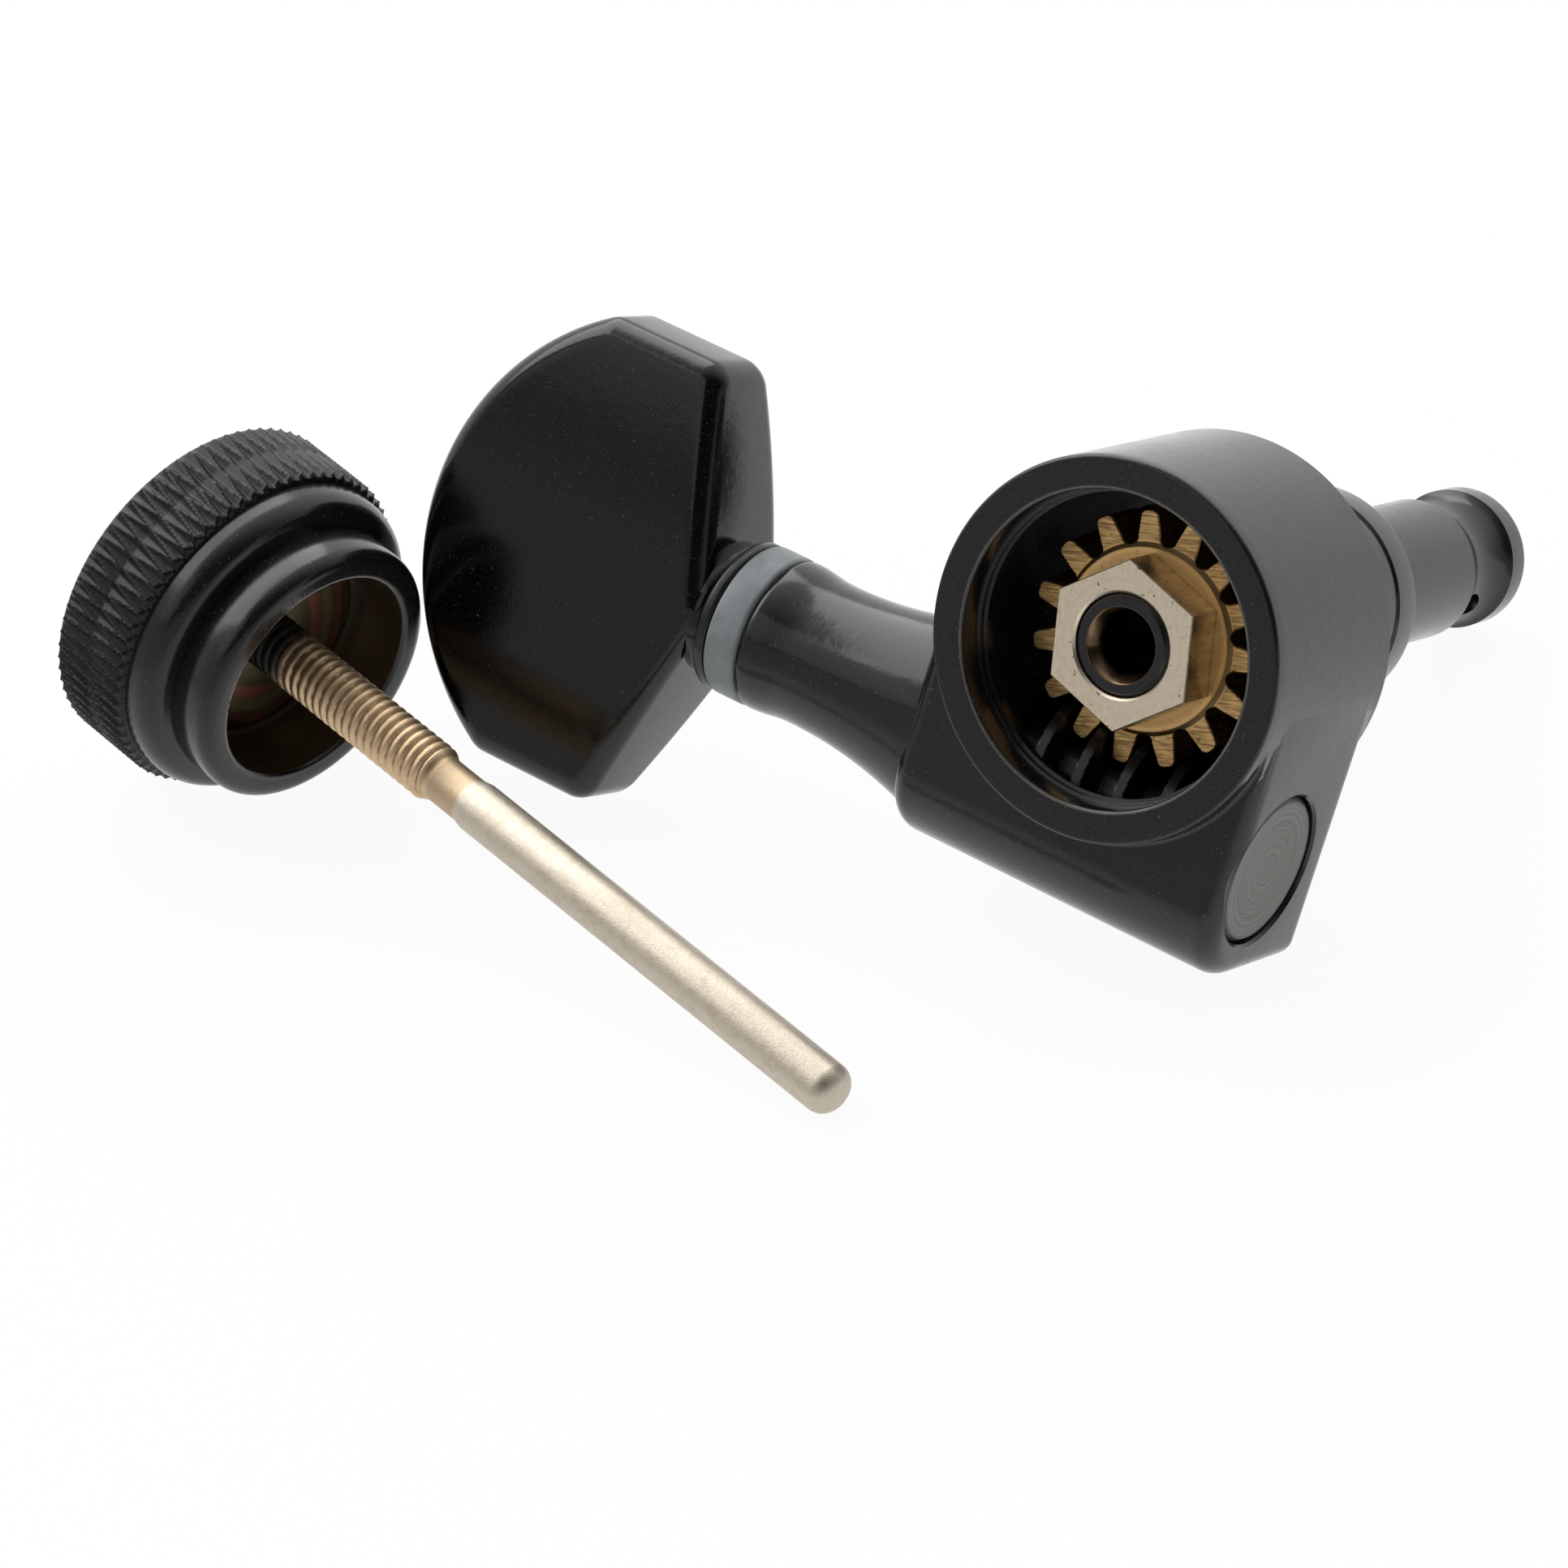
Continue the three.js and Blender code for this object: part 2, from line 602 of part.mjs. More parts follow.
function wormWasherSolid() {
  const end = -WORM_HALF - SEAT_GAP;
  return ringSolid(SHAFT_RADIUS / 2, WORM_TIP_RADIUS, end - WORM_WASHER_THICKNESS, end, 0, SMALL_SIDES);
}

function postWasherSolid() {
  const start = -FLOOR_THICKNESS - SEAT_GAP - POST_WASHER_THICKNESS;
  const inner = POST_JOURNAL_RADIUS + RUNNING_GAP;
  return ringSolid(inner, POST_WASHER_RADIUS, start, start + POST_WASHER_THICKNESS, 0, SIDES);
}

// Worm, wheel and shaft

const WORM_PITCH = (360 * DEGREE * PITCH_RADIUS) / TEETH;
const TOOTH_ANGLE = 360 / TEETH;
const WORM_CREST_WIDTH = WORM_PITCH * WORM_CREST_SHARE;
const WORM_BASE_WIDTH = WORM_PITCH * WORM_BASE_SHARE;

// The wheel has a tooth at WHEEL_TURN from local X. Seen from the worm, the nearest gap lies a part of a pitch
// off centre.
function gapOffset() {
  const turns = (90 + WHEEL_TURN) / TOOTH_ANGLE;
  const tooth = turns - Math.floor(turns);
  return WORM_PITCH * (tooth - 0.5);
}

function wormShaftSolid() {
  const half = THREAD_HALF;
  const thread = threadSolid({
    profile: [
      [-WORM_BASE_WIDTH / 2, WORM_ROOT_RADIUS],
      [-WORM_CREST_WIDTH / 2, WORM_TIP_RADIUS],
      [WORM_CREST_WIDTH / 2, WORM_TIP_RADIUS],
      [WORM_BASE_WIDTH / 2, WORM_ROOT_RADIUS],
      [WORM_PITCH - WORM_BASE_WIDTH / 2, WORM_ROOT_RADIUS],
    ],
    pitch: WORM_PITCH,
    sides: WORM_SIDES,
    start: -half - WORM_END_WIDTH / 2,
    end: half + WORM_END_WIDTH / 2,
    crestPlace: gapOffset() - (WORM_PITCH * (90 - KEY_TURN)) / 360,
  });
  const ends = [
    rod(WORM_TIP_RADIUS, -WORM_HALF, -half, WORM_SIDES),
    rod(WORM_TIP_RADIUS, half, WORM_HALF, WORM_SIDES),
  ];
  const journal = rod(SHAFT_RADIUS, half, KEY_START, SIDES);
  const stem = cut(rod(SHAFT_KEY_RADIUS, half, SHAFT_KEY_END, SIDES), keyFlatCuts(SHAFT_KEY_FLAT));
  const holeEnd = SHAFT_KEY_END - KEY_SCREW_REACH;
  const hole = rod(KEY_SCREW_RADIUS + RUNNING_GAP, holeEnd, SHAFT_KEY_END + OVERRUN, SIDES);
  return cut(union([thread, ...ends, journal, stem]), [hole]);
}

// Blocks that cut two parallel flats on the stem which carries the key.
function keyFlatCuts(flat) {
  const length = SHAFT_KEY_END + OVERRUN - KEY_START;
  const width = SHAFT_KEY_RADIUS * 4;
  return [-1, 1].map((side) => {
    const y = side * (flat + SHAFT_KEY_RADIUS);
    return boxSolid(width, SHAFT_KEY_RADIUS * 2, length, 0, y, KEY_START + length / 2);
  });
}

// Outline of one tooth about local X: round gap bottom, straight tapered flank and rounded tip, then mirrored.
function toothOutline() {
  const rootRound = WORM_PITCH * TOOTH_ROOT_ROUND_SHARE;
  const tipRound = WORM_PITCH * TOOTH_TIP_ROUND_SHARE;
  const tipHalf = (WORM_PITCH * TOOTH_TIP_SHARE) / 2;
  const gapRadius = WHEEL_ROOT_RADIUS + rootRound;
  const middle = (TOOTH_ANGLE / 2) * DEGREE;
  const side = [];
  for (let i = 1; i <= TOOTH_STEPS; i += 1) {
    const angle = (90 * DEGREE * i) / TOOTH_STEPS;
    const inward = gapRadius - rootRound * Math.cos(angle);
    const across = rootRound * Math.sin(angle);
    const x = inward * Math.cos(middle) + across * Math.sin(middle);
    const y = inward * Math.sin(middle) - across * Math.cos(middle);
    side.push([x, y]);
  }
  for (let i = 0; i <= TOOTH_STEPS; i += 1) {
    const angle = (90 * DEGREE * i) / TOOTH_STEPS;
    const x = WHEEL_TIP_RADIUS - tipRound * (1 - Math.sin(angle));
    side.push([x, tipHalf - tipRound * (1 - Math.cos(angle))]);
  }
  const mirrored = side.map(([x, y]) => [x, -y]);
  const gap = [WHEEL_ROOT_RADIUS * Math.cos(middle), WHEEL_ROOT_RADIUS * Math.sin(middle)];
  return [...mirrored, ...side.reverse(), gap];
}

// The teeth lean by the worm's lead, so that they stay in the thread over the wheel's whole width.
function wheelRing(height) {
  const lean = ((height + WORM_DEPTH) * WORM_PITCH) / (360 * DEGREE * WORM_PITCH_RADIUS * PITCH_RADIUS);
  const tooth = toothOutline();
  const ring = [];
  for (let i = 0; i < TEETH; i += 1) {
    const turn = (WHEEL_TURN + TOOTH_ANGLE * i) * DEGREE + lean;
    for (const [x, y] of tooth) {
      const point = new THREE.Vector3(x, y, height);
      ring.push(point.applyAxisAngle(new THREE.Vector3(0, 0, 1), turn));
    }
  }
  return ring;
}

function wormWheelSolid() {
  const teeth = solidOf(stack([wheelRing(WHEEL_BACK), wheelRing(WHEEL_FRONT)]));
  const foot = HUB_RADIUS + HUB_FLARE;
  const hub = solidOf(turned([
    [0, NUT_SEAT],
    [HUB_RADIUS, NUT_SEAT],
    [foot, WHEEL_BACK],
    [foot, -WORM_DEPTH],
    [0, -WORM_DEPTH],
  ], SIDES));
  const bore = driveRod(SEAT_GAP, NUT_SEAT - OVERRUN, WHEEL_FRONT + OVERRUN);
  return cut(union([teeth, hub]), [bore]);
}

// Round rod with two flats that drives the wheel, grown by a gap for the wheel's bore.
function driveRod(gap, start, end) {
  const flat = POST_DRIVE_FLAT + gap;
  const slab = boxSolid(POST_DRIVE_RADIUS * 4, flat * 2, end - start + OVERRUN, 0, 0, (start + end) / 2);
  return rod(POST_DRIVE_RADIUS + gap, start, end, SIDES).intersect(slab);
}

// Post and nut

function postSolid() {
  const groovePlace = POST_TIP - POST_DISC_THICKNESS;
  const outline = [
    [0, WHEEL_FRONT],
    [POST_JOURNAL_RADIUS, WHEEL_FRONT],
    [POST_JOURNAL_RADIUS, SOCKET_FLOOR + SEAT_GAP],
    [POST_RADIUS, SOCKET_FLOOR + SEAT_GAP],
    [POST_RADIUS, groovePlace - POST_GROOVE_LENGTH],
    ...waistPoints(groovePlace),
    [POST_RADIUS, groovePlace],
    [POST_RADIUS, POST_TIP - POST_TIP_ROUND],
    [POST_RADIUS - POST_TIP_ROUND, POST_TIP],
    [0, POST_TIP],
  ];
  const upper = solidOf(turned(outline, SIDES));
  const drive = driveRod(0, NUT_SEAT, WHEEL_FRONT + OVERRUN);
  const stud = solidOf(turned([
    [0, NUT_FACE],
    [POST_STUD_RADIUS - POST_STUD_CHAMFER, NUT_FACE],
    [POST_STUD_RADIUS, NUT_FACE + POST_STUD_CHAMFER],
    [POST_STUD_RADIUS, WHEEL_FRONT],
    [0, WHEEL_FRONT],
  ], SIDES));
  return cut(union([upper, drive, stud]), [postBoreCut(), stringHole()]);
}

// Hollow waist of the string groove, from its foot up to the end disc.
function waistPoints(groovePlace) {
  const points = [];
  const steps = ROUND_STEPS + 2;
  for (let i = 1; i < steps; i += 1) {
    const share = i / steps;
    const depth = POST_GROOVE_DEPTH * Math.sin(180 * DEGREE * share) ** POST_GROOVE_FULLNESS;
    points.push([POST_RADIUS - depth, groovePlace - POST_GROOVE_LENGTH * (1 - share)]);
  }
  return points;
}

function postBoreCut() {
  const end = POST_TIP - POST_DISC_THICKNESS - POST_BORE_END_WALL;
  const outline = [
    [0, NUT_FACE - OVERRUN],
    [POST_BORE_RADIUS + POST_BORE_CHAMFER, NUT_FACE - OVERRUN],
    [POST_BORE_RADIUS + POST_BORE_CHAMFER, NUT_FACE],
    [POST_BORE_RADIUS, NUT_FACE + POST_BORE_CHAMFER],
    [POST_BORE_RADIUS, end],
    [0, end + POST_BORE_RADIUS / 2],
  ];
  return solidOf(turned(outline, SMALL_SIDES));
}

function stringHole() {
  const reach = POST_RADIUS + OVERRUN;
  const geometry = geometryOf(rod(STRING_HOLE_RADIUS, -reach, reach, SMALL_SIDES));
  geometry.rotateY(90 * DEGREE);
  geometry.rotateZ(STRING_HOLE_TURN * DEGREE);
  geometry.translate(0, 0, POST_TIP - POST_DISC_THICKNESS - POST_GROOVE_LENGTH / 2);
  return solidOf(geometry);
}

function nutSolid() {
  const seat = NUT_SEAT - SEAT_GAP;
  const body = solidOf(stack([
    hexRing(NUT_CORNER_RADIUS, NUT_FACE),
    hexRing(NUT_CORNER_RADIUS, seat),
  ]));
  const hole = rod(POST_STUD_RADIUS + RUNNING_GAP, NUT_FACE - OVERRUN, seat + OVERRUN, SIDES);
  return cut(body, [hole]);
}

function hexRing(radius, height) {
  const ring = [];
  for (let i = 0; i < 6; i += 1) {
    const angle = (NUT_TURN + 60 * i) * DEGREE;
    ring.push(new THREE.Vector3(radius * Math.cos(angle), radius * Math.sin(angle), height));
  }
  return ring;
}

// Key: a half-moon slab with a boss. Its outline is a row of arcs, each kept as points that lie one corner
// radius inside the edge, with their outward normals.

function keyOutline() {
  const round = KEY_CORNER_ROUND;
  const arcCentre = KEY_LENGTH - KEY_ARC_RADIUS;
  const arcRadius = KEY_ARC_RADIUS - round;
  const side = KEY_HALF_WIDTH - round;
  const arcEnd = Math.asin(side / arcRadius) / DEGREE;
  const cornerX = arcCentre + arcRadius * Math.cos(arcEnd * DEGREE);
  const tip = round / Math.cos(KEY_SLOPE * DEGREE);
  const sideX = tip + side * Math.tan(KEY_SLOPE * DEGREE);
  const arcs = [
    { x: arcCentre, y: 0, radius: arcRadius, from: -arcEnd, to: arcEnd, steps: 4 * ROUND_STEPS },
    { x: cornerX, y: side, radius: 0, from: arcEnd, to: 90, steps: 2 },
    { x: sideX, y: side, radius: 0, from: 90, to: 180 - KEY_SLOPE, steps: ROUND_STEPS },
    { x: tip, y: 0, radius: 0, from: 180 - KEY_SLOPE, to: 180 + KEY_SLOPE, steps: 2 },
    { x: sideX, y: -side, radius: 0, from: 180 + KEY_SLOPE, to: 270, steps: ROUND_STEPS },
    { x: cornerX, y: -side, radius: 0, from: 270, to: 360 - arcEnd, steps: 2 },
  ];
  return arcs.flatMap(arcPoints);
}

function arcPoints({ x, y, radius, from, to, steps }) {
  const points = [];
  for (let i = 0; i <= steps; i += 1) {
    const angle = (from + ((to - from) * i) / steps) * DEGREE;
    const nx = Math.cos(angle);
    const ny = Math.sin(angle);
    points.push({ x: x + radius * nx, y: y + radius * ny, nx, ny });
  }
  return points;
}

// Slab ring in the key's own axes: length on X, width on Y, thickness on Z.
function keyRing(outline, inset, height) {
  const reach = KEY_CORNER_ROUND - inset;
  return outline.map(({ x, y, nx, ny }) => new THREE.Vector3(x + reach * nx, y + reach * ny, height));
}

function keyDishRing(outline, share, height) {
  const middle = KEY_LENGTH / 2;
  return outline.map(({ x, y }) => new THREE.Vector3(middle + (x - middle) * share, y * share, height));
}

function keySlab() {
  const outline = keyOutline();
  const half = KEY_THICKNESS / 2;
  const side = roundSteps(KEY_EDGE_ROUND)
    .map(([inset, rise]) => keyRing(outline, inset, half - rise))
    .reverse();
  const dish = KEY_DISH_SHARES.map((share) => {
    const sunk = KEY_DISH_DEPTH * (1 - share * share);
    return keyDishRing(outline, share, half - sunk);
  });
  const face = [...side, ...dish];
  const mirrored = face.map((ring) => ring.map((point) => new THREE.Vector3(point.x, point.y, -point.z)));
  return stack([...mirrored.reverse(), ...face]);
}

// Turns the slab's axes into the shaft's: its length along the shaft, its thickness along the post.
function keySolid() {
  const slab = keySlab();
  slab.rotateX(180 * DEGREE);
  slab.rotateY(-90 * DEGREE);
  slab.translate(0, 0, KEY_START);
  const taper = KEY_BOSS_LENGTH + KEY_BOSS_TAPER;
  const boss = solidOf(turned([
    [0, KEY_START],
    ...roundSteps(KEY_BOSS_ROUND).map(([inset, rise]) => [KEY_BOSS_RADIUS - inset, KEY_START + rise]),
    [KEY_BOSS_RADIUS, KEY_START + KEY_BOSS_LENGTH],
    [KEY_BOSS_RADIUS * KEY_BOSS_TAPER_SHARE, KEY_START + taper],
    [0, KEY_START + taper],
  ], SIDES));
  const stem = rod(SHAFT_KEY_RADIUS + SEAT_GAP, KEY_START - OVERRUN, KEY_SCREW_SEAT, SIDES);
  const flats = keyFlatCuts(SHAFT_KEY_FLAT + SEAT_GAP);
  const seatEnd = KEY_START + KEY_LENGTH + OVERRUN;
  const seat = rod(KEY_SCREW_HEAD_RADIUS + RUNNING_GAP, KEY_SCREW_SEAT, seatEnd, SIDES);
  return cut(solidOf(slab).add(boss), [cut(stem, flats), seat]);
}

function keyScrewSolid() {
  const seat = KEY_SCREW_SEAT + SEAT_GAP;
  const top = seat + KEY_SCREW_HEAD_HEIGHT;
  const body = solidOf(turned([
    [0, SHAFT_KEY_END - KEY_SCREW_REACH + SEAT_GAP],
    [KEY_SCREW_RADIUS, SHAFT_KEY_END - KEY_SCREW_REACH + SEAT_GAP],
    [KEY_SCREW_RADIUS, seat],
    [KEY_SCREW_HEAD_RADIUS, seat],
    [KEY_SCREW_HEAD_RADIUS, top - KEY_SCREW_HEAD_ROUND],
    [KEY_SCREW_HEAD_RADIUS - KEY_SCREW_HEAD_ROUND, top],
    [0, top],
  ], SMALL_SIDES));
  const depth = KEY_SCREW_SLOT_DEPTH;
  const bar = boxSolid(KEY_SCREW_SLOT_LENGTH, KEY_SCREW_SLOT_WIDTH, depth * 2, 0, 0, top);
  const cross = boxSolid(KEY_SCREW_SLOT_WIDTH, KEY_SCREW_SLOT_LENGTH, depth * 2, 0, 0, top);
  return cut(body, [bar, cross]);
}

// Locking screw

// Diamond knurl: crests and hollows alternate around and along the rim like a draughts board.
function knurlRing(height, row) {
  const count = 2 * KNURL_COUNT;
  const ring = [];
  for (let i = 0; i < count; i += 1) {
    const angle = (360 * DEGREE * i) / count;
    const sunk = (i + row) % 2 === 0 ? 0 : KNURL_DEPTH;
    const radius = WHEEL_RADIUS - sunk;
    ring.push(new THREE.Vector3(radius * Math.cos(angle), radius * Math.sin(angle), height));
  }
  return ring;
}

function plainRing(radius, height) {
  const count = 2 * KNURL_COUNT;
  const ring = [];
  for (let i = 0; i < count; i += 1) {
    const angle = (360 * DEGREE * i) / count;
    ring.push(new THREE.Vector3(radius * Math.cos(angle), radius * Math.sin(angle), height));
  }
  return ring;
}

function thumbWheelSolid() {
  const rings = [plainRing(SHOULDER_RADIUS, 0)];
  const span = KNURL_END - 2 * WHEEL_EDGE_CHAMFER;
  for (let row = 0; row <= KNURL_ROWS; row += 1) {
    rings.push(knurlRing(WHEEL_EDGE_CHAMFER + (span * row) / KNURL_ROWS, row));
  }
  const shoulder = SHOULDER_END - KNURL_END;
  const fall = SHOULDER_RADIUS - SHOULDER_FOOT_RADIUS;
  rings.push(plainRing(SHOULDER_RADIUS, KNURL_END));
  for (const [rise, drop] of SHOULDER_CURVE_SHARES) {
    rings.push(plainRing(SHOULDER_RADIUS - fall * drop, KNURL_END + shoulder * rise));
  }
  rings.push(plainRing(THUMB_COLLAR_RADIUS - RING_LINE_DEPTH, SHOULDER_END));
  rings.push(plainRing(THUMB_COLLAR_RADIUS, SHOULDER_END + RING_LINE_DEPTH * 2));
  for (const [inset, rise] of roundSteps(THUMB_COLLAR_ROUND).reverse()) {
    rings.push(plainRing(THUMB_COLLAR_RADIUS - inset, THUMB_COLLAR_END - rise));
  }
  const recess = solidOf(turned([
    [0, RECESS_FLOOR],
    [RECESS_RADIUS, RECESS_FLOOR],
    [RECESS_RADIUS, THUMB_COLLAR_END - RECESS_CHAMFER],
    [RECESS_RADIUS + RECESS_CHAMFER, THUMB_COLLAR_END],
    [RECESS_RADIUS + RECESS_CHAMFER, THUMB_COLLAR_END + OVERRUN],
    [0, THUMB_COLLAR_END + OVERRUN],
  ], SIDES));
  const pocketFloor = RECESS_FLOOR - DISC_THICKNESS - SEAT_GAP;
  const pocket = rod(DISC_RADIUS + SEAT_GAP, pocketFloor, RECESS_FLOOR + OVERRUN, SIDES);
  const stub = rod(PIN_STUB_RADIUS + SEAT_GAP, PIN_STUB_START - SEAT_GAP, RECESS_FLOOR, SMALL_SIDES);
  const dish = solidOf(turned([
    [0, -OVERRUN],
    [WHEEL_DISH_RADIUS, -OVERRUN],
    [WHEEL_DISH_RADIUS, 0],
    [WHEEL_DISH_RADIUS * WHEEL_DISH_SHARES[0], WHEEL_DISH_DEPTH * WHEEL_DISH_SHARES[1]],
    [0, WHEEL_DISH_DEPTH],
  ], SIDES));
  return cut(solidOf(stack(rings)), [recess, pocket, stub, dish]);
}

function backingDiscSolid() {
  const start = RECESS_FLOOR - DISC_THICKNESS;
  return ringSolid(PIN_STUB_RADIUS + SEAT_GAP, DISC_RADIUS, start, RECESS_FLOOR, 0, SIDES);
}

function lockingPinSolid() {
  const thread = threadSolid({
    profile: [
      [-PIN_THREAD_PITCH / 2, PIN_THREAD_ROOT],
      [0, PIN_THREAD_RADIUS],
      [PIN_THREAD_PITCH / 2, PIN_THREAD_ROOT],
    ],
    pitch: PIN_THREAD_PITCH,
    sides: THREAD_SIDES,
    start: RECESS_FLOOR + SEAT_GAP,
    end: PIN_THREAD_END,
    crestPlace: 0,
  });
  const stub = rod(PIN_STUB_RADIUS, PIN_STUB_START, RECESS_FLOOR + PIN_THREAD_PITCH, SMALL_SIDES);
  const outline = [
    [0, PIN_THREAD_END - PIN_THREAD_PITCH],
    [PIN_RELIEF_RADIUS, PIN_THREAD_END - PIN_THREAD_PITCH],
    [PIN_RELIEF_RADIUS, PIN_RELIEF_END - PIN_RELIEF_TAPER],
    [PIN_ROD_RADIUS, PIN_RELIEF_END],
    [PIN_ROD_RADIUS, PIN_ROD_END],
  ];
  for (let i = 1; i <= ROUND_STEPS; i += 1) {
    const angle = (90 * DEGREE * i) / ROUND_STEPS;
    outline.push([PIN_ROD_RADIUS * Math.cos(angle), PIN_ROD_END + PIN_TIP_LENGTH * Math.sin(angle)]);
  }
  return union([stub, thread, solidOf(turned(outline, SMALL_SIDES))]);
}

// Materials

function finish(color, roughness, metalness) {
  return new THREE.MeshStandardMaterial({ color, roughness, metalness });
}

const BLACK_PAINT = finish(0x1c1c1b, 0.32, 0.1);
const BLACK_PLATE = finish(0x242423, 0.35, 0.6);
const DARK_STEEL = finish(0x33312f, 0.4, 0.8);
const BRASS = finish(0xc9a873, 0.42, 0.9);
const NICKEL = finish(0xcfc6bb, 0.35, 0.9);
const SATIN_GREY = finish(0x4a4946, 0.5, 0.6);
const NYLON = finish(0x97a0a1, 0.5, 0);
const PALE_NYLON = finish(0xd8d4c8, 0.5, 0);
const PLATED_YELLOW = finish(0x8a7a4c, 0.25, 0.9);
const BRONZE_THREAD = finish(0xb09680, 0.4, 0.85);

function piece(name, solid, material) {
  const mesh = new THREE.Mesh(geometryOf(solid), material);
  mesh.name = name;
  return mesh;
}

// Assembly

// Group whose local Z is the worm shaft's axis in the tuner frame.
function shaftGroup(name, turn, pieces) {
  const spin = new THREE.Group();
  spin.rotation.z = turn * DEGREE;
  spin.add(...pieces);
  const group = new THREE.Group();
  group.name = name;
  group.position.set(0, -WORM_DROP, -WORM_DEPTH);
  group.rotation.y = 90 * DEGREE;
  group.add(spin);
  return group;
}

function buildTuner() {
  const inner = SHAFT_RADIUS + RUNNING_GAP;
  const nylonEnd = NYLON_START + NYLON_WASHER_THICKNESS;
  const nylon = ringSolid(inner, NYLON_WASHER_RADIUS, NYLON_START, nylonEnd, NYLON_WASHER_ROUND, SIDES);
  const steelEnd = KEY_WASHER_START + KEY_WASHER_THICKNESS;
  const steel = ringSolid(inner, KEY_WASHER_RADIUS, KEY_WASHER_START, steelEnd, KEY_WASHER_ROUND, SIDES);
  const tuner = new THREE.Group();
  tuner.name = 'tuner';
  tuner.add(piece('housing', housingSolid(), BLACK_PAINT));
  tuner.add(piece('post_thrust_washer', postWasherSolid(), PALE_NYLON));
  tuner.add(piece('worm_wheel', wormWheelSolid(), BRASS));
  tuner.add(piece('wheel_nut', nutSolid(), NICKEL));
  tuner.add(piece('string_post', postSolid(), BLACK_PLATE));
  tuner.add(shaftGroup('worm_seat', 0, [
    piece('end_plug', endPlugSolid(), SATIN_GREY),
    piece('worm_thrust_washer', wormWasherSolid(), PALE_NYLON),
  ]));
  tuner.add(shaftGroup('key_assembly', KEY_TURN, [
    piece('worm_shaft', wormShaftSolid(), DARK_STEEL),
    piece('nylon_washer', nylon, NYLON),
    piece('key_washer', steel, BLACK_PLATE),
    piece('key_button', keySolid(), BLACK_PAINT),
    piece('key_screw', keyScrewSolid(), BLACK_PLATE),
  ]));
  return tuner;
}

function buildLockingScrew() {
  const screw = new THREE.Group();
  screw.name = 'locking_screw';
  screw.add(piece('thumb_wheel', thumbWheelSolid(), BLACK_PLATE));
  screw.add(piece('backing_disc', backingDiscSolid(), PLATED_YELLOW));
  screw.add(piece('locking_pin', lockingPinSolid(), BRONZE_THREAD));
  return screw;
}

// Resting on the table

function cornersOf(object, names) {
  object.updateMatrixWorld(true);
  const corners = [];
  object.traverse((node) => {
    if (!node.isMesh || !names.includes(node.name)) return;
    const places = node.geometry.getAttribute('position');
    for (let i = 0; i < places.count; i += 1) {
      corners.push(new THREE.Vector3().fromBufferAttribute(places, i).applyMatrix4(node.matrixWorld));
    }
  });
  return corners;
}

function lowest(corners, up) {
  return corners.reduce((low, corner) => (corner.dot(up) < low.dot(up) ? corner : low));
}

// The up direction of an object that stands on one point of each of three groups of its corners.
function settledUp(groups, firstUp) {
  let up = firstUp;
  for (let round = 0; round < SETTLE_ROUNDS; round += 1) {
    const [a, b, c] = groups.map((corners) => lowest(corners, up));
    const normal = b.clone().sub(a).cross(c.clone().sub(a)).normalize();
    up = normal.dot(up) < 0 ? normal.negate() : normal;
  }
  return up;
}

// Turns an object so that one of its directions is up and another heads the given way over the table.
function standUp(object, up, forward, heading) {
  const flat = forward.clone().addScaledVector(up, -forward.dot(up)).normalize();
  const side = up.clone().cross(flat);
  const own = new THREE.Matrix4().makeBasis(flat, side, up);
  const turn = new THREE.Matrix4().makeRotationZ(heading * DEGREE);
  object.quaternion.setFromRotationMatrix(turn.multiply(own.invert()));
}

function drop(object, x, y) {
  object.position.set(x, y, 0);
  object.updateMatrixWorld(true);
  object.position.z = -new THREE.Box3().setFromObject(object, true).min.z;
}

function restTuner(tuner) {
  const groups = [['key_button'], ['housing'], ['string_post']].map((names) => cornersOf(tuner, names));
  const up = settledUp(groups, new THREE.Vector3(0, 1, 0));
  standUp(tuner, up, new THREE.Vector3(1, 0, 0), SHAFT_HEADING);
  drop(tuner, 0, 0);
}

// The screw lies on its wheel's rim and its pin's tip, the pin's axis in one upright plane.
function restScrew(screw, keyEnd) {
  const wheel = cornersOf(screw, ['thumb_wheel']);
  const pin = cornersOf(screw, ['locking_pin']);
  let up = new THREE.Vector3(1, 0, 0);
  for (let round = 0; round < SETTLE_ROUNDS; round += 1) {
    const span = lowest(pin, up).clone().sub(lowest(wheel, up));
    up = new THREE.Vector3(1, 0, -span.x / span.z).normalize();
  }
  standUp(screw, up, new THREE.Vector3(0, 0, 1), SCREW_HEADING);
  const middle = new THREE.Vector3(0, 0, KNURL_END).applyQuaternion(screw.quaternion);
  drop(screw, keyEnd.x + SCREW_PLACE_X - middle.x, keyEnd.y + SCREW_PLACE_Y - middle.y);
}

function assemble() {
  const tuner = buildTuner();
  const screw = buildLockingScrew();
  restTuner(tuner);
  const keyEnd = new THREE.Vector3(0, 0, KEY_START + KEY_LENGTH);
  restScrew(screw, tuner.getObjectByName('key_assembly').localToWorld(keyEnd));
  const whole = new THREE.Group();
  whole.name = 'guitar_tuning_machine';
  whole.add(tuner, screw);
  whole.updateMatrixWorld(true);
  const box = new THREE.Box3().setFromObject(whole, true);
  const middle = box.getCenter(new THREE.Vector3());
  whole.position.set(-middle.x, -middle.y, -box.min.z);
  whole.updateMatrixWorld(true);
  return whole;
}

const group = assemble();

export default group;
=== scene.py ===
"""Locking tuning machine of a guitar on a pale table, its locking screw lying beside it.

Every shape is worked out in millimetres in the frame of its own assembly and then placed in the shared frame,
in metres. The tuner's frame has its origin on the string post's axis at the mounting face, +Z along the post
and +X along the worm shaft to the key. The screw's frame has +Z along its pin, from the wheel's outer face.
"""

from __future__ import annotations

